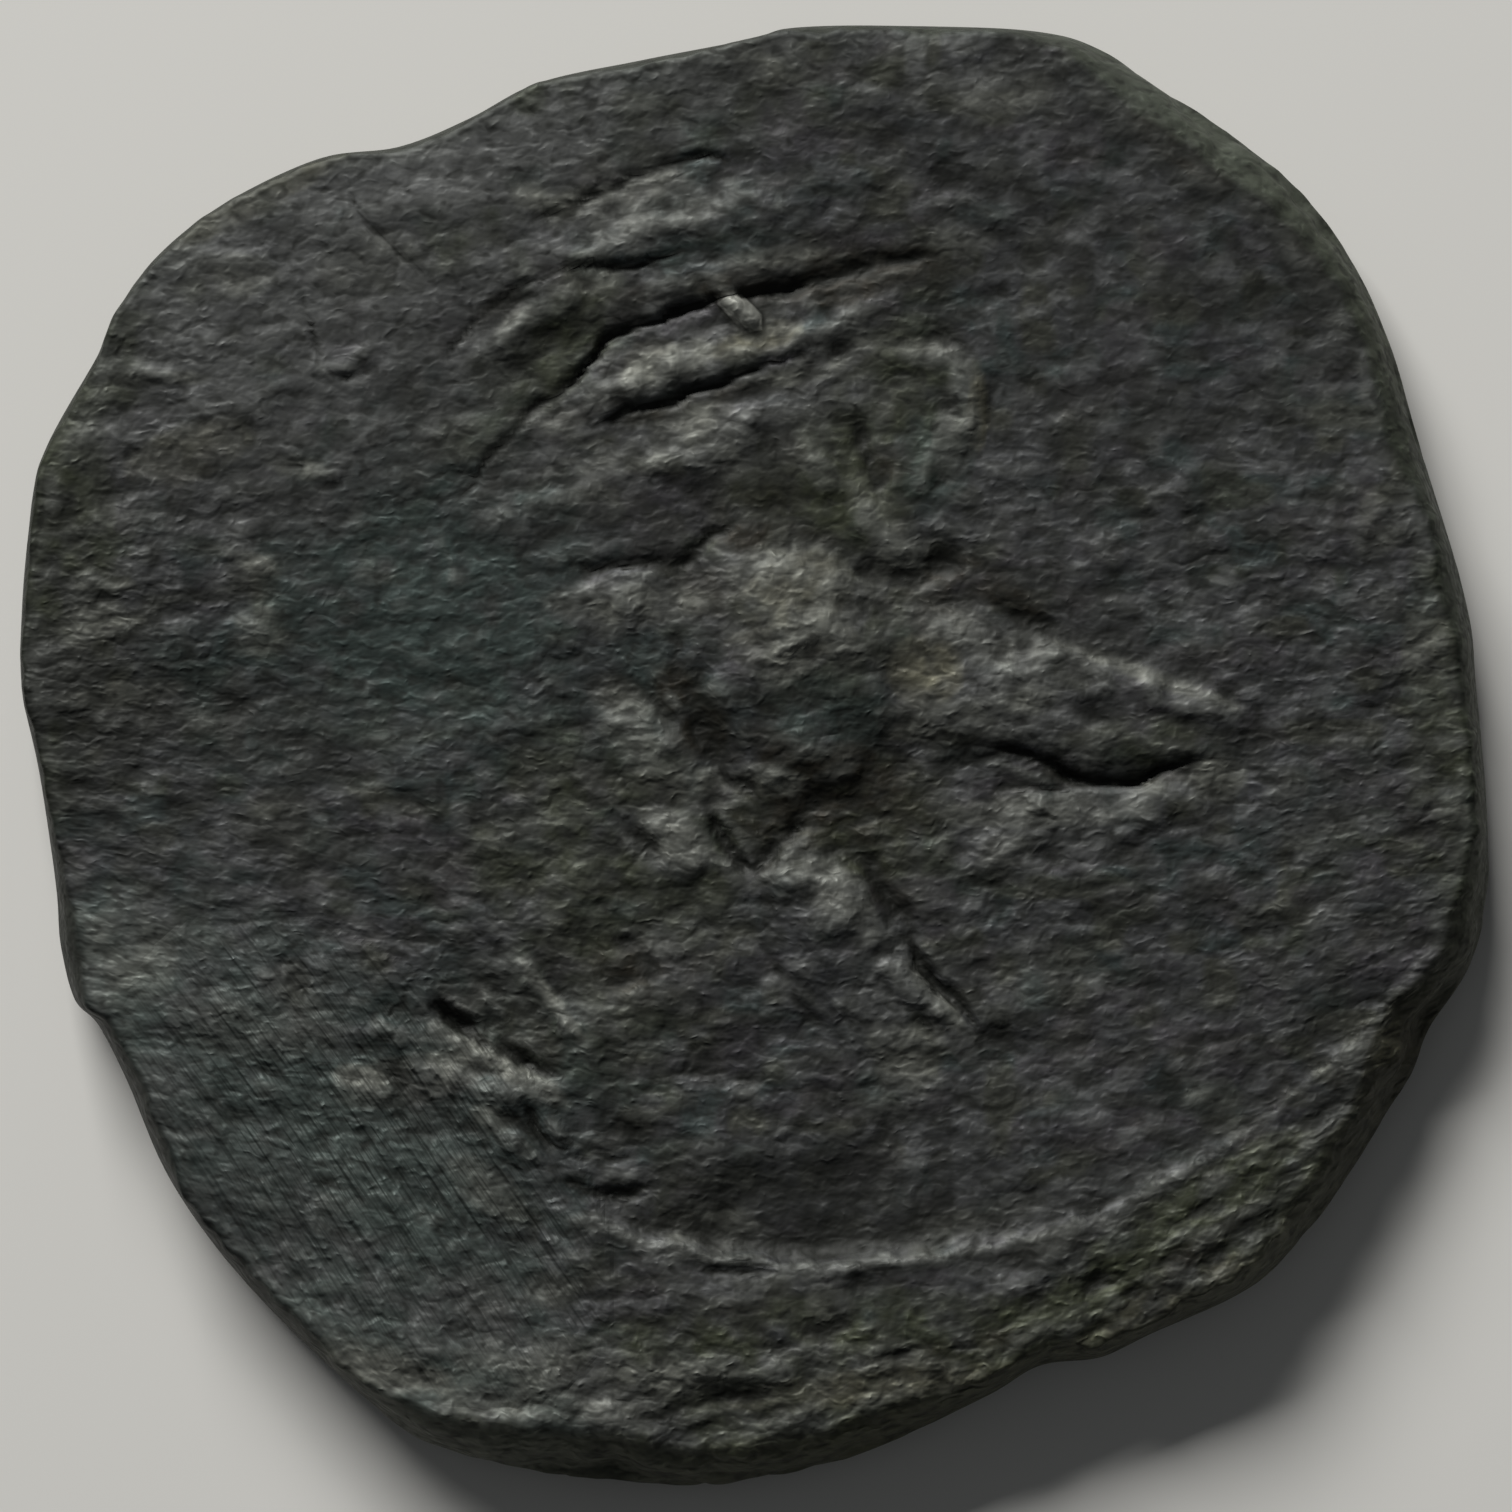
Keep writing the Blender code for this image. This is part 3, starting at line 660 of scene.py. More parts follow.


# The toning, from the ground up: a colour, and the places it covers, each by its middle, half length,
# half width, turn in degrees and strength. Some films are partly painted: the lighter ones carry painted
# light on lit slopes and high places, the darker ones painted shade in hollows, along cracks and under the
# boss.
toningWithPaintedLight = {
    'cool film of chloride': ('#3a4541', [
        ((-440, -380), 340, 170, -44, 1.1), ((-330, -560), 250, 90, -34, 0.9),
        ((-330, 210), 170, 150, 0, 1.0), ((-200, 80), 180, 90, 0, 0.6), ((72, 45), 70, 56, 0, 1.1),
        ((184, 310), 40, 80, -10, 0.8), ((-260, -300), 140, 100, -30, 0.7),
        ((-60, 520), 130, 50, 15, 0.6), ((-440, 60), 200, 100, 0, 0.6),
    ]),
    'olive earth': ('#3e4230', [
        ((60, 190), 150, 110, 100, 0.8), ((79, 282), 34, 62, 0, 0.9), ((-150, -90), 150, 120, -20, 0.7),
        ((90, -60), 120, 70, 0, 0.9), ((420, -530), 360, 90, 34, 1.4), ((-100, 640), 260, 60, 10, 0.4),
        ((130, 330), 120, 80, 60, 0.8), ((-170, -260), 130, 80, -20, 0.5), ((60, -620), 330, 90, 4, 1.2),
        ((-690, 180), 60, 260, 0, 1.3), ((-630, 400), 130, 50, 52, 1.0), ((-460, 570), 140, 26, 30, 0.8),
        ((-270, 640), 140, 24, 20, 0.8), ((620, -430), 200, 60, 55, 1.0), ((700, 60), 60, 280, 0, 0.6),
        ((-230, 380), 130, 50, 40, 0.8), ((380, 12), 90, 30, 0, 0.8), ((-290, 520), 80, 40, 45, 0.5),
    ]),
    # patina thinned by handling, and painted light on the upper left and on lit slopes
    'thinned by handling and painted light': ('#5b5c5a', [
        ((-440, 440), 290, 210, 45, 1.1), ((-220, 640), 260, 90, 18, 0.8), ((60, 330), 90, 60, 30, 0.4),
        ((60, -640), 200, 60, 0, 0.5), ((-110, 520), 90, 22, 8, 0.9), ((-36, 308), 40, 42, 0, 0.9),
        ((-180, 285), 54, 20, 0, 0.7), ((-240, 228), 50, 22, 0, 0.6), ((80, 405), 44, 28, 40, 0.9),
        ((202, 330), 24, 64, -10, 0.7), ((80, 140), 104, 28, 48, 1.0), ((250, 50), 120, 28, -4, 0.8),
        ((460, -22), 30, 26, 0, 0.9), ((560, -60), 50, 44, 0, 0.5), ((300, -85), 100, 26, 6, 0.6),
        ((126, -236), 40, 76, -14, 1.1), ((-340, -326), 76, 24, 12, 0.9),
        ((-244, -236), 56, 32, -50, 0.6), ((-490, -250), 100, 50, 0, 0.5),
        ((-40, -478), 110, 16, -8, 0.8), ((300, -440), 120, 16, 22, 0.9),
        ((-370, -606), 76, 24, -14, 1.2), ((-270, -650), 56, 26, -16, 1.2),
        ((-290, -600), 270, 100, -28, 1.1), ((-630, -240), 130, 100, -60, 0.5),
        ((-500, -460), 230, 80, -46, 0.4), ((-400, -330), 300, 150, -42, 0.25),
        ((-200, -620), 90, 50, 0, 0.9), ((330, 80), 160, 60, -6, 0.3), ((30, 160), 90, 80, 0, 0.9),
        ((-70, 400), 120, 26, 26, 0.9), ((-190, 320), 150, 30, 32, 0.6), ((60, -150), 70, 50, -50, 0.5),
        ((290, -60), 120, 34, 2, 0.7), ((-125, 150), 90, 30, 0, 0.7), ((230, 110), 70, 40, -20, 0.7),
        ((-90, -85), 60, 34, -30, 0.6), ((-190, -690), 200, 26, -8, 1.0), ((190, -270), 50, 16, -50, 0.8),
    ]),
    'pale film': ('#515a55', [
        ((-340, -410), 170, 90, -46, 0.7), ((-500, -340), 190, 90, -48, 0.5),
        ((-630, -220), 90, 70, -60, 0.5), ((-330, -600), 220, 70, -30, 0.9),
    ]),
    # cream earth, and painted light on the boss's top, the loop and the lumps of the lower edge
    'cream earth and painted light': ('#666453', [
        ((42, 160), 62, 40, 20, 0.9), ((34, 112), 70, 22, 6, 0.8), ((170, 84), 40, 40, 0, 0.8),
        ((222, 342), 12, 42, 0, 1.0), ((2, 410), 50, 16, 16, 0.9), ((-105, 395), 30, 18, 30, 0.5),
        ((-480, 560), 120, 16, 30, 0.5), ((-650, 60), 40, 70, 0, 0.4), ((540, -470), 130, 22, 50, 0.5),
        ((380, -560), 150, 22, 30, 0.7), ((120, -625), 170, 20, 6, 0.6), ((-560, 300), 70, 30, 20, 0.4),
    ]),
    # dark ground, and painted shade inside the raised edge at the upper right, along the lower right rim
    # and in hollows
    'dark ground and painted shade': ('#2b2c29', [
        ((-660, 40), 150, 70, 90, 0.9), ((60, -460), 230, 90, 2, 0.7), ((410, 608), 100, 34, -36, 1.1),
        ((545, 495), 100, 30, -56, 1.0), ((230, 560), 160, 40, -20, 0.5), ((-190, 240), 120, 50, 0, 0.4),
        ((-510, 20), 140, 60, 0, 0.85), ((330, 170), 120, 90, 0, 0.45), ((-690, 130), 60, 150, 0, 0.6),
        ((-330, 330), 60, 60, 0, 0.3), ((340, 640), 120, 44, -20, 0.6), ((585, 395), 130, 30, -64, 0.6),
        ((425, 600), 120, 26, -38, 0.45), ((470, -480), 130, 26, 44, 0.5),
        ((450, -500), 130, 40, 40, 0.4), ((380, -420), 120, 40, 36, 0.3), ((-640, 240), 60, 50, 0, 0.4),
        ((-480, 260), 46, 46, 0, 0.4), ((-460, -430), 80, 40, 0, 0.3), ((330, 340), 80, 36, 0, 0.4),
        ((235, 130), 96, 28, -14, 0.9), ((-140, 66), 30, 20, 0, 0.7), ((20, -96), 46, 26, 0, 0.7),
        ((520, -250), 60, 50, 0, 0.3), ((292, -490), 40, 26, 16, 0.9), ((-90, -656), 70, 14, 0, 0.6),
        ((590, -330), 80, 24, 56, 1.0), ((-250, 296), 74, 26, 48, 0.7), ((170, -70), 30, 26, 0, 0.4),
        ((-60, 162), 28, 30, 0, 0.7),
    ]),
    # brown earth, and painted shade under the boss and along the cracks
    'brown earth and painted shade': ('#211d12', [
        ((70, -40), 130, 56, 0, 0.9), ((-64, 44), 56, 34, -66, 1.0), ((-10, 14), 70, 26, -14, 0.8),
        ((76, -34), 56, 34, 0, 1.0), ((14, 214), 74, 18, 0, 0.8), ((-44, 166), 40, 32, 0, 0.7),
        ((-60, 351), 84, 12, 14, 0.8), ((-260, 432), 56, 14, 34, 0.6), ((-86, 463), 64, 13, 10, 0.5),
        ((104, 462), 60, 16, 20, 0.8), ((34, 298), 22, 24, 0, 0.6), ((130, 290), 28, 22, 0, 0.7),
        ((-115, -214), 66, 38, 0, 0.7), ((196, 186), 30, 20, 0, 1.2), ((262, 150), 34, 20, -20, 0.9),
        ((200, -590), 110, 16, 12, 0.6), ((420, -500), 110, 14, 36, 0.6), ((74, 476), 140, 30, 8, 1.1),
        ((-150, 352), 90, 14, 28, 0.8), ((-10, 250), 60, 44, 0, 0.5), ((205, 165), 60, 34, 0, 0.8),
        ((130, -120), 50, 40, -50, 0.6), ((-270, -270), 90, 40, -20, 0.5),
        ((600, -430), 150, 22, 52, 0.6), ((650, -285), 90, 30, 64, 1.0), ((420, 600), 70, 16, -36, 0.7),
        ((540, 505), 70, 12, -54, 0.6), ((100, 30), 60, 90, 20, 0.3), ((340, -20), 110, 14, 0, 0.5),
    ]),
    # brown earth, and painted shade in small hollows
    'low brown earth and painted shade': ('#26241c', [
        ((-258, 446), 30, 11, 35, 0.7), ((-135, 385), 26, 14, 0, 0.5), ((-125, 55), 30, 26, 0, 0.6),
        ((-245, -300), 60, 30, 0, 0.6), ((-60, 330), 28, 14, 0, 0.5), ((182, 120), 30, 36, 0, 0.6),
        ((372, -28), 44, 12, 0, 0.5), ((262, -40), 30, 18, 0, 0.5), ((5, -112), 40, 22, 0, 0.5),
        ((30, 182), 60, 22, 0, 0.4), ((282, 116), 40, 16, 0, 0.4), ((540, -390), 34, 16, 40, 0.5),
        ((592, -298), 44, 14, 60, 0.6), ((80, -135), 24, 12, 0, 0.4), ((-565, 35), 50, 20, 0, 0.4),
        ((100, 475), 60, 10, 8, 0.4), ((300, -480), 60, 16, 20, 0.4), ((140, -60), 60, 30, 0, 0.3),
        ((-320, 300), 40, 50, 0, 0.3), ((300, 360), 60, 30, 0, 0.3), ((-270, -540), 30, 40, 0, 0.3),
    ]),
    # metal rubbed bare, and painted light on lit slopes and ridges
    'rubbed metal and painted light': ('#7c7d74', [
        ((-85, 388), 54, 20, 20, 1.2), ((-110, 300), 110, 22, 30, 0.5), ((30, 182), 60, 34, 10, 0.4),
        ((75, -132), 50, 26, -30, 0.4), ((180, -240), 46, 12, -52, 0.8), ((235, 112), 80, 26, -20, 0.35),
        ((390, 80), 110, 9, -20, 0.7), ((290, -56), 110, 18, 2, 0.6), ((-125, 152), 90, 22, 0, 0.5),
        ((-107, 16), 84, 34, -50, 0.5), ((-80, -84), 46, 28, -30, 0.7), ((-250, -306), 84, 15, -32, 0.7),
        ((-391, -320), 30, 13, -10, 0.9), ((-259, -361), 26, 14, -20, 0.7),
        ((-198, -246), 60, 7, -52, 0.9), ((-183, -618), 120, 46, -8, 0.5), ((-620, -200), 50, 60, 0, 0.4),
        ((120, 240), 24, 50, 30, 0.4), ((-495, 190), 24, 10, -20, 0.8), ((-495, 136), 24, 14, 0, 0.6),
        ((-110, 545), 100, 36, 12, 0.4), ((55, 100), 50, 24, 0, 0.6), ((44, 380), 44, 12, 16, 0.6),
        ((-128, 140), 40, 24, 30, 0.4), ((265, 60), 40, 22, 0, 0.5), ((290, -220), 66, 34, 0, 0.4),
        ((-490, -265), 90, 40, 0, 0.25), ((-265, -430), 50, 24, -40, 0.4), ((-80, -618), 90, 20, 0, 0.5),
        ((20, -688), 40, 14, 0, 0.5), ((140, -592), 36, 16, 0, 0.5), ((455, -340), 30, 24, 0, 0.4),
        ((75, -545), 26, 24, 0, 0.4), ((590, 345), 70, 24, -10, 0.3), ((-36, 308), 40, 40, 0, 0.4),
        ((80, 405), 46, 26, 40, 0.5), ((202, 330), 24, 64, -10, 0.5), ((75, 140), 104, 28, 48, 0.6),
        ((150, 195), 34, 20, 20, 0.5), ((180, 35), 60, 22, 0, 0.5), ((0, -24), 62, 16, -6, 0.9),
        ((150, -285), 42, 36, 0, 0.8), ((105, -165), 20, 30, 20, 0.5), ((-340, -322), 80, 26, 12, 0.7),
        ((-370, -604), 80, 24, -14, 0.9), ((-270, -650), 50, 24, -16, 0.6),
        ((-500, 180), 50, 16, 20, 0.3), ((460, -22), 30, 26, 0, 0.5), ((-200, 555), 44, 18, 0, 0.6),
        ((20, 495), 60, 12, 8, 0.5), ((-170, 288), 44, 12, 10, 0.5), ((-660, 130), 40, 24, 20, 0.4),
        ((-630, 60), 70, 14, 8, 0.4), ((-490, 112), 40, 14, 10, 0.4), ((-470, -70), 50, 40, 0, 0.3),
        ((-520, 475), 50, 24, 0, 0.4), ((240, 660), 60, 30, 0, 0.3), ((0, 430), 20, 22, 0, 0.7),
        ((230, -455), 70, 16, 16, 0.4), ((-390, 490), 60, 30, 20, 0.3), ((620, 230), 40, 30, 60, 0.4),
        ((665, 110), 24, 50, 0, 0.5), ((-100, -610), 60, 18, 0, 0.5), ((-40, -470), 50, 20, 0, 0.4),
        ((-645, 168), 40, 6, 0, 0.6), ((-640, 132), 40, 6, 6, 0.6), ((-595, 374), 60, 8, 0, 0.6),
        ((-453, 286), 34, 12, -10, 0.7), ((220, 350), 10, 50, 0, 0.5), ((150, 406), 60, 9, -6, 0.5),
        ((-360, -318), 34, 20, 0, 0.5), ((-370, -608), 70, 16, -10, 0.6), ((140, 200), 24, 16, 0, 0.6),
        ((-165, 468), 44, 14, 12, 0.6), ((-235, 430), 30, 12, 40, 0.5), ((205, 510), 40, 16, 0, 0.4),
        ((30, 372), 50, 12, 10, 0.4), ((5, 680), 24, 20, 0, 0.5), ((450, -20), 40, 18, 0, 0.5),
        ((-460, -225), 20, 24, 0, 0.4), ((250, -100), 30, 24, 0, 0.4), ((-200, -530), 30, 20, 0, 0.4),
        ((-45, -470), 50, 30, 0, 0.3), ((-270, 300), 40, 12, 0, 0.2), ((70, 100), 40, 30, 0, 0.3),
        ((130, -330), 60, 40, 0, 0.3), ((690, -60), 24, 20, 0, 0.5), ((240, 40), 50, 24, 0, 0.3),
    ]),
    'bare silver': ('#b4b4aa', [
        ((-14, 440), 25, 14, -38, 1.5), ((30, 424), 22, 8, 20, 0.4),
    ]),
}

# Flecks of the same films all over the skin: colour, size, strength.
flecks = [('#35423f', 30, 0.6), ('#434436', 26, 0.6), ('#464346', 34, 0.6), ('#606160', 17, 0.65),
          ('#24251f', 20, 0.6)]

# Colour of the edge, by the angle from +X in degrees: its olive and green tones, darker on the top, left
# and lower left as painted shade, lighter on the bottom and upper right as painted light.
edgeTonesLitAndShaded = [
    (-180, '#1a1d14'), (-135, '#1a1d15'), (-116, '#4b4e43'), (-80, '#41432f'), (-55, '#515244'),
    (-44, '#525345'), (-34, '#3f4033'), (-24, '#39382a'), (-8, '#3a3f33'), (20, '#3a4034'),
    (34, '#4a4f41'), (60, '#50554a'), (72, '#2f352a'), (84, '#242a1e'), (140, '#1b2013'),
    (180, '#1a1d14'),
]

# How the tones lie over each other and what the material reads from the shape.
patina = {
    'slate': '#414242',          # silver sulphide, nearly black, under all the rest
    'fleckStretch': 1.4,
    'fleckFrom': (0.0, 0.6),     # the values of the grain between which a fleck grows
    'patchBlunt': 0.5,           # how a patch fades towards its border
    'patchShare': 0.85,
    'patchUneven': [(36, 0.5), (15, 0.4)],    # size, share
    'patchMost': 0.95,
    'edgeShare': 0.9,            # how much of the edge's tone, with its painted light and shade, lies beyond the lip
    'edgeFrom': (-8, 6),         # units past the lip between which it grows
    'rimShadeShare': 0.55,            # and how much of it on the rim inside the lip, as painted shade darkening towards the outline
    'rimShadeFrom': (-26, -4),        # units past the outline between which it grows
    'creaseRounds': 10,          # rounds of smoothing that a crease is measured against
    'creaseDepth': 0.03,         # mm, the depth of a crack that counts as 1
    'creaseFade': (2, -20),      # units past the lip between which creases grow
    'scratchPlace': ((-380, -400), 300, 170, -46),
}


def linear(hexColour):
    values = []
    for start in (1, 3, 5):
        value = int(hexColour[start:start + 2], 16) / 255
        values.append(value / 12.92 if value <= 0.04045 else ((value + 0.055) / 1.055) ** 2.4)
    return (*values, 1.0)


def toneAt(x, y):
    tone = np.tile(linear(patina['slate']), (len(x), 1))
    for seed, (colour, size, strength) in enumerate(flecks, seeds['flecks']):
        share = strength * softStep(*patina['fleckFrom'], grain(x, y, size, seed, patina['fleckStretch']))
        share = share[:, None]
        tone = tone * (1 - share) + share * linear(colour)
    # mixes in each film, the painted light and painted shade among them
    for seed, (colour, patches) in enumerate(toningWithPaintedLight.values(), seeds['toningWithPaintedLight']):
        share = sum(patch[-1] * moundShare(x, y, *patch[:-1]) ** patina['patchBlunt'] for patch in patches)
        share = share * (patina['patchShare'] + layered(x, y, patina['patchUneven'], seed, toningSeedStep))
        share = np.clip(share, 0.0, patina['patchMost'])[:, None]
        tone = tone * (1 - share) + share * linear(colour)
    # the edge's tone beyond the lip, and painted shade on the rim towards the outline
    angle = np.arctan2(y, x)
    turns, colours = zip(*edgeTonesLitAndShaded)
    edge = np.column_stack([np.interp(np.degrees(angle), turns, channel)
                            for channel in zip(*map(linear, colours))])
    beyond = np.hypot(x, y) - radiusAt(angle)
    share = np.maximum(patina['edgeShare'] * softStep(*patina['edgeFrom'], pastLip(x, y)),
                       patina['rimShadeShare'] * softStep(*patina['rimShadeFrom'], beyond))[:, None]
    return tone * (1 - share) + share * edge


def keepAttribute(data, name, kind, field, values):
    attribute = data.attributes.new(name, kind, 'POINT')
    attribute.data.foreach_set(field, values.astype(np.float32).ravel())


def paintPatinaLightAndShade(piece):
    data = piece.data
    places = readPlaces(piece)
    x, y, z = places.T
    ends = np.empty(len(data.edges) * 2, int)
    data.edges.foreach_get('vertices', ends)
    ends = ends.reshape(-1, 2)
    # how much lower a place lies than its surroundings: the material darkens cracks by it with dirt and
    # painted shade, and lightens high places with wear and a painted highlight
    crease = (smoothOver(z, ends, patina['creaseRounds']) - z) / patina['creaseDepth']
    crease = np.clip(crease, -1.0, 1.0) * softStep(*patina['creaseFade'], pastLip(x, y))
    keepAttribute(data, 'crease', 'FLOAT', 'value', crease)
    keepAttribute(data, 'tone', 'FLOAT_COLOR', 'color', toneAt(x, y))
    scratched = moundShare(x, y, *patina['scratchPlace']) ** patina['patchBlunt']
    keepAttribute(data, 'scratched', 'FLOAT', 'value', scratched)
    keepAttribute(data, 'coarse', 'FLOAT', 'value', coarseAt(x, y))
    along, across = grainPlace(x, y)
    flow = np.column_stack([along * unit, across * unit, z])
    keepAttribute(data, 'grainPlace', 'FLOAT_VECTOR', 'vector', flow)


silver = {
    'rubbedAndHighlit': '#73756f',         # metal that handling keeps bright, also a painted highlight on high places
    # nearly black deposit in the hollows; in the cracks it is also painted shade
    'dirtAndShade': '#14150f',
    'metallic': 0.5,
    'roughness': (0.70, 0.56),   # in the crumbs' hollows and on their backs
    'crumbSpan': (0.3, 0.7),     # the noise values of those
    'lumpMm': (0.25, 0.135),     # one lump of the crumbled skin, along the grain and across it
    'lumpSoftness': 1.0,
    'bendMm': 0.33,              # the lumps' rows wander over this length
    'bend': (2.6, 2.6, 2.6),     # by at most this many lumps each way
    'crumbMm': (0.20, 0.13),
    'pitMm': 0.045,              # pits, drawn coarser than the real ones, which are too fine to show
    'scratchMm': (1.5, 0.16),    # drawn wider than the real ones
    'scratchTurn': 54,
    'heightUnit': 0.001,         # mm, what the four heights below are counted in
    'lumpHeight': 24.0,
    'crumbHeight': 14.0,
    'pitHeight': 0.8,
    'scratchHeight': 110.0,
    # where a layer of colour starts, where it is full, and how much there is of it
    # high places lightened by the crease: wear and a painted highlight
    'rubbedHighWithHighlight': (-0.1, -0.9, 0.4),
    'dirtBetween': (0.2, 0.8, 0.55),
    'dirtLow': (0.47, 0.30, 0.6),
    # cracks darkened by their crease: dirt and painted shade
    'dirtAndShadeInCracks': (0.1, 1.0, 0.9),
}


def addNode(tree, kind, settings=None, links=None, output=0):
    node = tree.nodes.new(kind)
    for name, value in (settings or {}).items():
        if isinstance(name, str) and hasattr(node, name):
            setattr(node, name, value)
        else:
            node.inputs[name].default_value = value
    for name, source in (links or {}).items():
        tree.links.new(source, node.inputs[name])
    return node.outputs[output]


def tonedSilver():
    # Hammered silver, toned nearly black in the ground and etched by salts: a matt, slaty skin that
    # only glints on high places, where handling has rubbed it. Its high places are also lightened as a
    # painted highlight, and its cracks darkened as painted shade.
    material = bpy.data.materials.new('toned_silver')
    material.use_nodes = True
    tree = material.node_tree
    shader = tree.nodes['Principled BSDF']
    shader.inputs['Metallic'].default_value = silver['metallic']

    flow = addNode(tree, 'ShaderNodeAttribute', {'attribute_name': 'grainPlace'}, output='Vector')
    tone = addNode(tree, 'ShaderNodeAttribute', {'attribute_name': 'tone'}, output='Color')
    crease = addNode(tree, 'ShaderNodeAttribute', {'attribute_name': 'crease'}, output='Fac')
    scratched = addNode(tree, 'ShaderNodeAttribute', {'attribute_name': 'scratched'}, output='Fac')
    coarseness = addNode(tree, 'ShaderNodeAttribute', {'attribute_name': 'coarse'}, output='Fac')

    # lumps: soft cells in rows that wander along the grain
    length, width = silver['lumpMm']
    rows = addNode(tree, 'ShaderNodeMapping', {'Scale': (1 / length, 1 / width, 1 / width)},
                   {'Vector': flow})
    wander = addNode(tree, 'ShaderNodeTexNoise', {'Scale': 1 / silver['bendMm'], 'Detail': 2.0},
                     {'Vector': flow}, 'Color')
    bent = addNode(tree, 'ShaderNodeVectorMath', {'operation': 'MULTIPLY_ADD', 1: silver['bend']},
                   {0: wander, 2: rows})
    lumps = addNode(tree, 'ShaderNodeTexVoronoi', {'feature': 'SMOOTH_F1', 'Scale': 1.0,
                                                   'Smoothness': silver['lumpSoftness']},
                    {'Vector': bent}, 'Distance')

    # crumbs and pits between them
    length, width = silver['crumbMm']
    place = addNode(tree, 'ShaderNodeMapping', {'Scale': (1 / length, 1 / width, 1 / width)},
                    {'Vector': flow})
    crumb = addNode(tree, 'ShaderNodeTexNoise', {'Scale': 1.0, 'Detail': 1.0, 'Distortion': 0.3},
                    {'Vector': place})
    pits = addNode(tree, 'ShaderNodeTexNoise', {'Scale': 1 / silver['pitMm'], 'Detail': 1.0},
                   {'Vector': flow})

    # old scratches, all one way
    length, width = silver['scratchMm']
    turned = addNode(tree, 'ShaderNodeMapping', {'Rotation': (0, 0, math.radians(silver['scratchTurn']))},
                     {'Vector': flow})
    drawn = addNode(tree, 'ShaderNodeMapping', {'Scale': (1 / length, 1 / width, 1.0)}, {'Vector': turned})
    scratch = addNode(tree, 'ShaderNodeTexNoise', {'Scale': 1.0, 'Detail': 2.0}, {'Vector': drawn})
    scratch = addNode(tree, 'ShaderNodeMath', {'operation': 'MULTIPLY'}, {0: scratch, 1: scratched})

    height = addNode(tree, 'ShaderNodeMath', {'operation': 'MULTIPLY', 1: -silver['lumpHeight']},
                     {0: lumps})
    for layer, share in ((crumb, 'crumbHeight'), (pits, 'pitHeight'), (scratch, 'scratchHeight')):
        height = addNode(tree, 'ShaderNodeMath', {'operation': 'MULTIPLY_ADD', 1: silver[share]},
                         {0: layer, 2: height})
    height = addNode(tree, 'ShaderNodeMath', {'operation': 'MULTIPLY'}, {0: height, 1: coarseness})
    bump = addNode(tree, 'ShaderNodeBump', {'Strength': 1.0, 'Distance': silver['heightUnit'] * mm},
                   {'Height': height})
    tree.links.new(bump, shader.inputs['Normal'])

    # high places are rubbed and carry a painted highlight; dirt lies between the lumps and in the crumbs'
    # hollows; the cracks hold dirt and painted shade
    colour = tone
    for source, over, place in ((crease, 'rubbedAndHighlit', 'rubbedHighWithHighlight'), (lumps, 'dirtAndShade', 'dirtBetween'),
                                (crumb, 'dirtAndShade', 'dirtLow'), (crease, 'dirtAndShade', 'dirtAndShadeInCracks')):
        start, full, most = silver[place]
        share = addNode(tree, 'ShaderNodeMapRange', {'From Min': start, 'From Max': full, 'To Max': most},
                        {'Value': source})
        colour = addNode(tree, 'ShaderNodeMix', {'data_type': 'RGBA', 7: linear(silver[over])},
                         {0: share, 6: colour}, 2)
    tree.links.new(colour, shader.inputs['Base Color'])
    start, full = silver['crumbSpan']
    dullest, shiniest = silver['roughness']
    dull = addNode(tree, 'ShaderNodeMapRange', {'From Min': start, 'From Max': full, 'To Min': dullest,
                                                'To Max': shiniest}, {'Value': crumb})
    tree.links.new(dull, shader.inputs['Roughness'])
    return material


def finishPenny(piece):
    paintPatinaLightAndShade(piece)
    places = readPlaces(piece)
    places[:, :2] = (places[:, :2] - outlineMiddle) * unit * mm
    places[:, 2] *= mm
    writePlaces(piece, places)
    bpy.ops.object.select_all(action='DESELECT')
    piece.select_set(True)
    bpy.context.view_layer.objects.active = piece
    bpy.ops.object.shade_smooth()
    piece.data.materials.clear()
    piece.data.materials.append(tonedSilver())
    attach(piece, 'root')
    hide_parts('penny')
    print('penny finished')


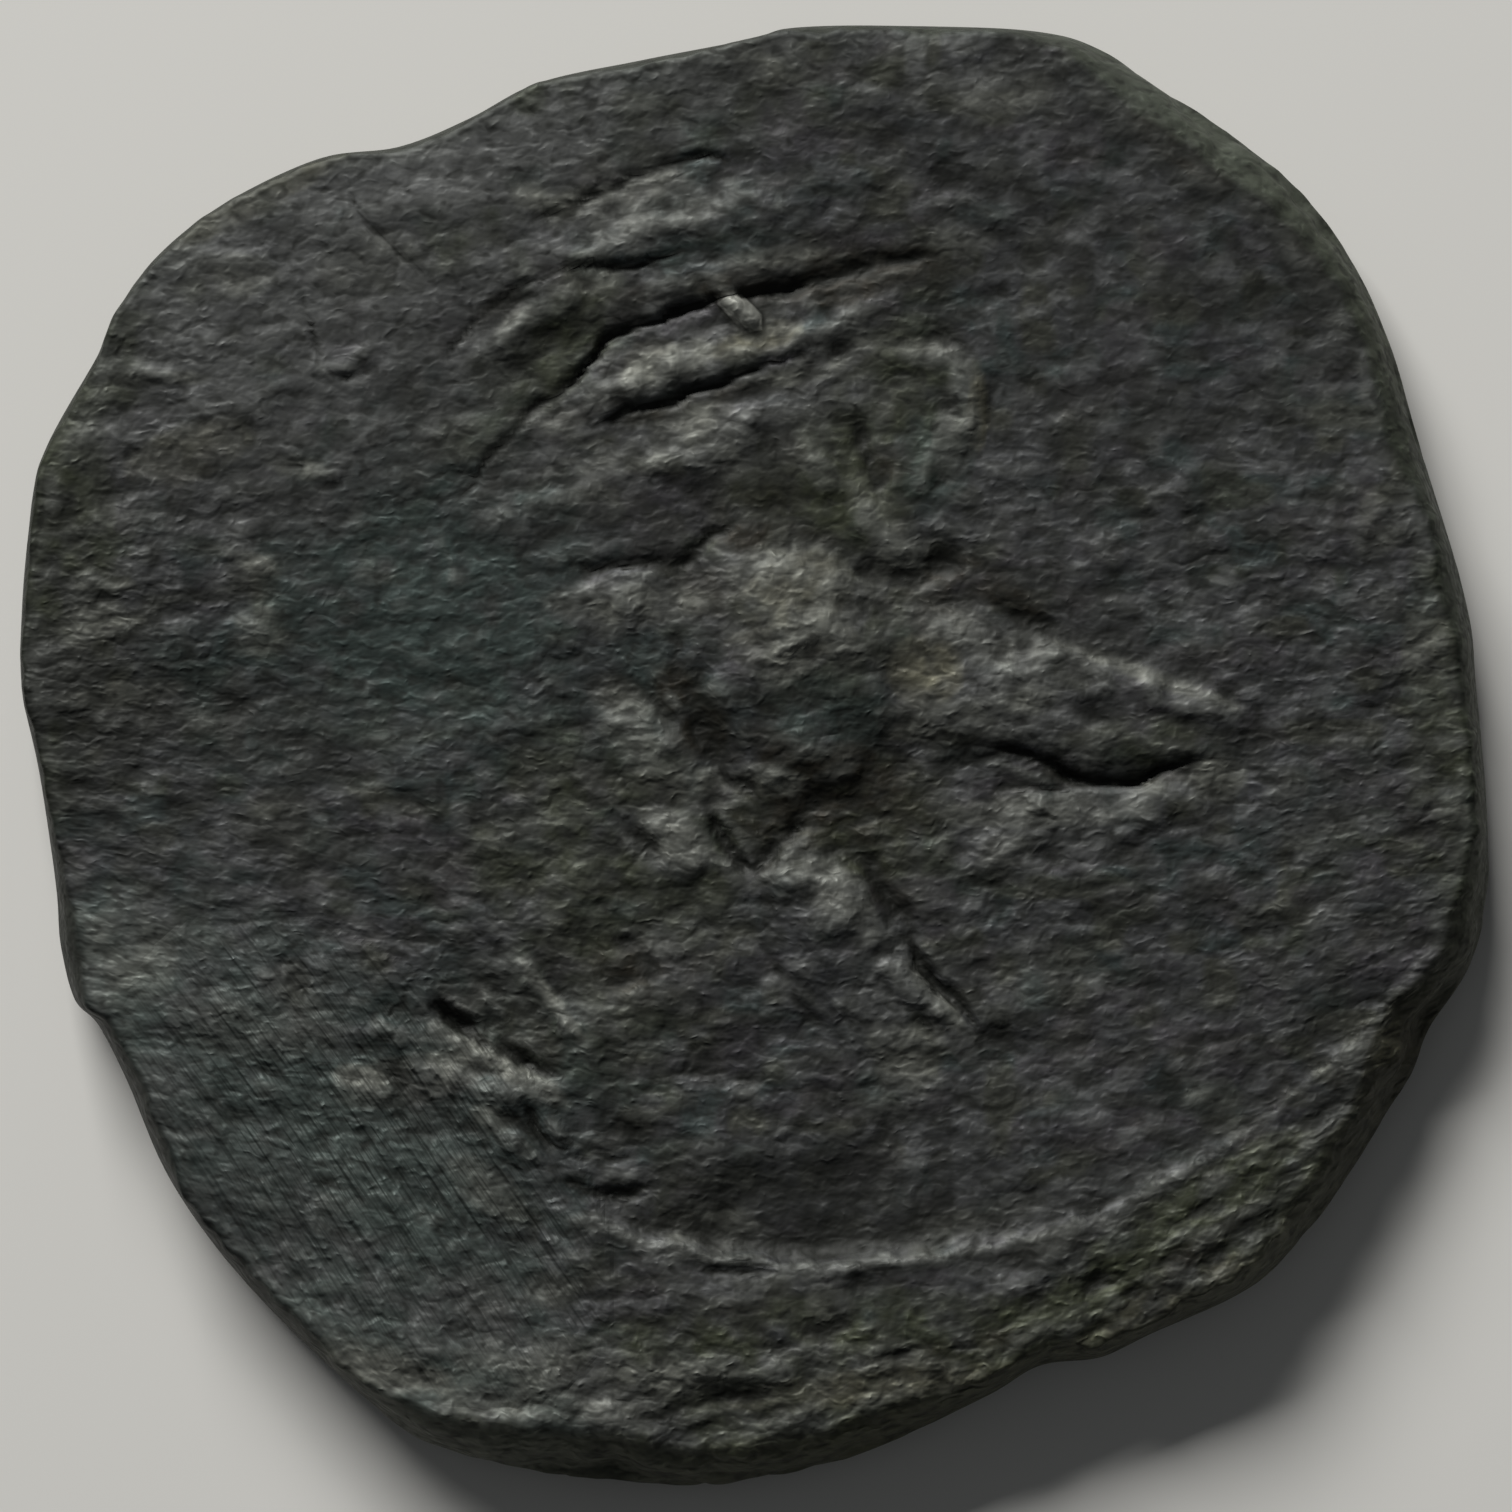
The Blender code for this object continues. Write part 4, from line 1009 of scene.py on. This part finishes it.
studio = {
    'floorColour': '#dcdad4',
    'floorRoughness': 0.9,
    'floorSize': 1.2,            # metres, as are the light's place and size
    'keyPlace': (-0.13, 0.30, 0.17),
    'keySize': (0.22, 0.12),
    'keyPower': 2.12,            # watts
    'skyColour': '#c8ccd0',
    'skyStrength': 0.12,
    'lens': 150.0,               # a long lens, square to the coin
    'frameWidth': 19.02,         # mm across the picture
    'aimRight': 0.02,            # mm, for the coin lies a little left of the picture's middle
    'coinLevel': 0.5,            # height in mm at which that width is measured
}


def makeFloor():
    bpy.ops.object.select_all(action='DESELECT')
    bpy.ops.mesh.primitive_plane_add(size=studio['floorSize'], location=(0, 0, 0))
    floor = bpy.context.active_object
    floor.name = 'floor'
    material = bpy.data.materials.new('matt_paper')
    material.use_nodes = True
    shader = material.node_tree.nodes['Principled BSDF']
    shader.inputs['Base Color'].default_value = linear(studio['floorColour'])
    shader.inputs['Roughness'].default_value = studio['floorRoughness']
    floor.data.materials.append(material)


def makeLight():
    place = Vector(studio['keyPlace'])
    data = bpy.data.lights.new('softbox', 'AREA')
    data.shape = 'RECTANGLE'
    data.size, data.size_y = studio['keySize']
    data.energy = studio['keyPower']
    key = bpy.data.objects.new('softbox', data)
    key.location = place
    key.rotation_euler = place.to_track_quat('Z', 'Y').to_euler()
    bpy.context.scene.collection.objects.link(key)
    world = bpy.data.worlds.new('studio')
    world.use_nodes = True
    sky = world.node_tree.nodes['Background']
    sky.inputs['Color'].default_value = linear(studio['skyColour'])
    sky.inputs['Strength'].default_value = studio['skyStrength']
    bpy.context.scene.world = world
    bpy.context.scene.view_settings.view_transform = 'Standard'


def makeCamera():
    data = bpy.data.cameras.new('camera')
    data.lens = studio['lens']
    data.clip_start = mm
    distance = studio['frameWidth'] * mm * studio['lens'] / data.sensor_width
    camera = bpy.data.objects.new('camera', data)
    camera.location = (studio['aimRight'] * mm, 0.0, distance + studio['coinLevel'] * mm)
    bpy.context.scene.collection.objects.link(camera)
    bpy.context.scene.camera = camera


makeCamera()
makeLight()
makeFloor()
penny = makeBlank()
finishPenny(penny)
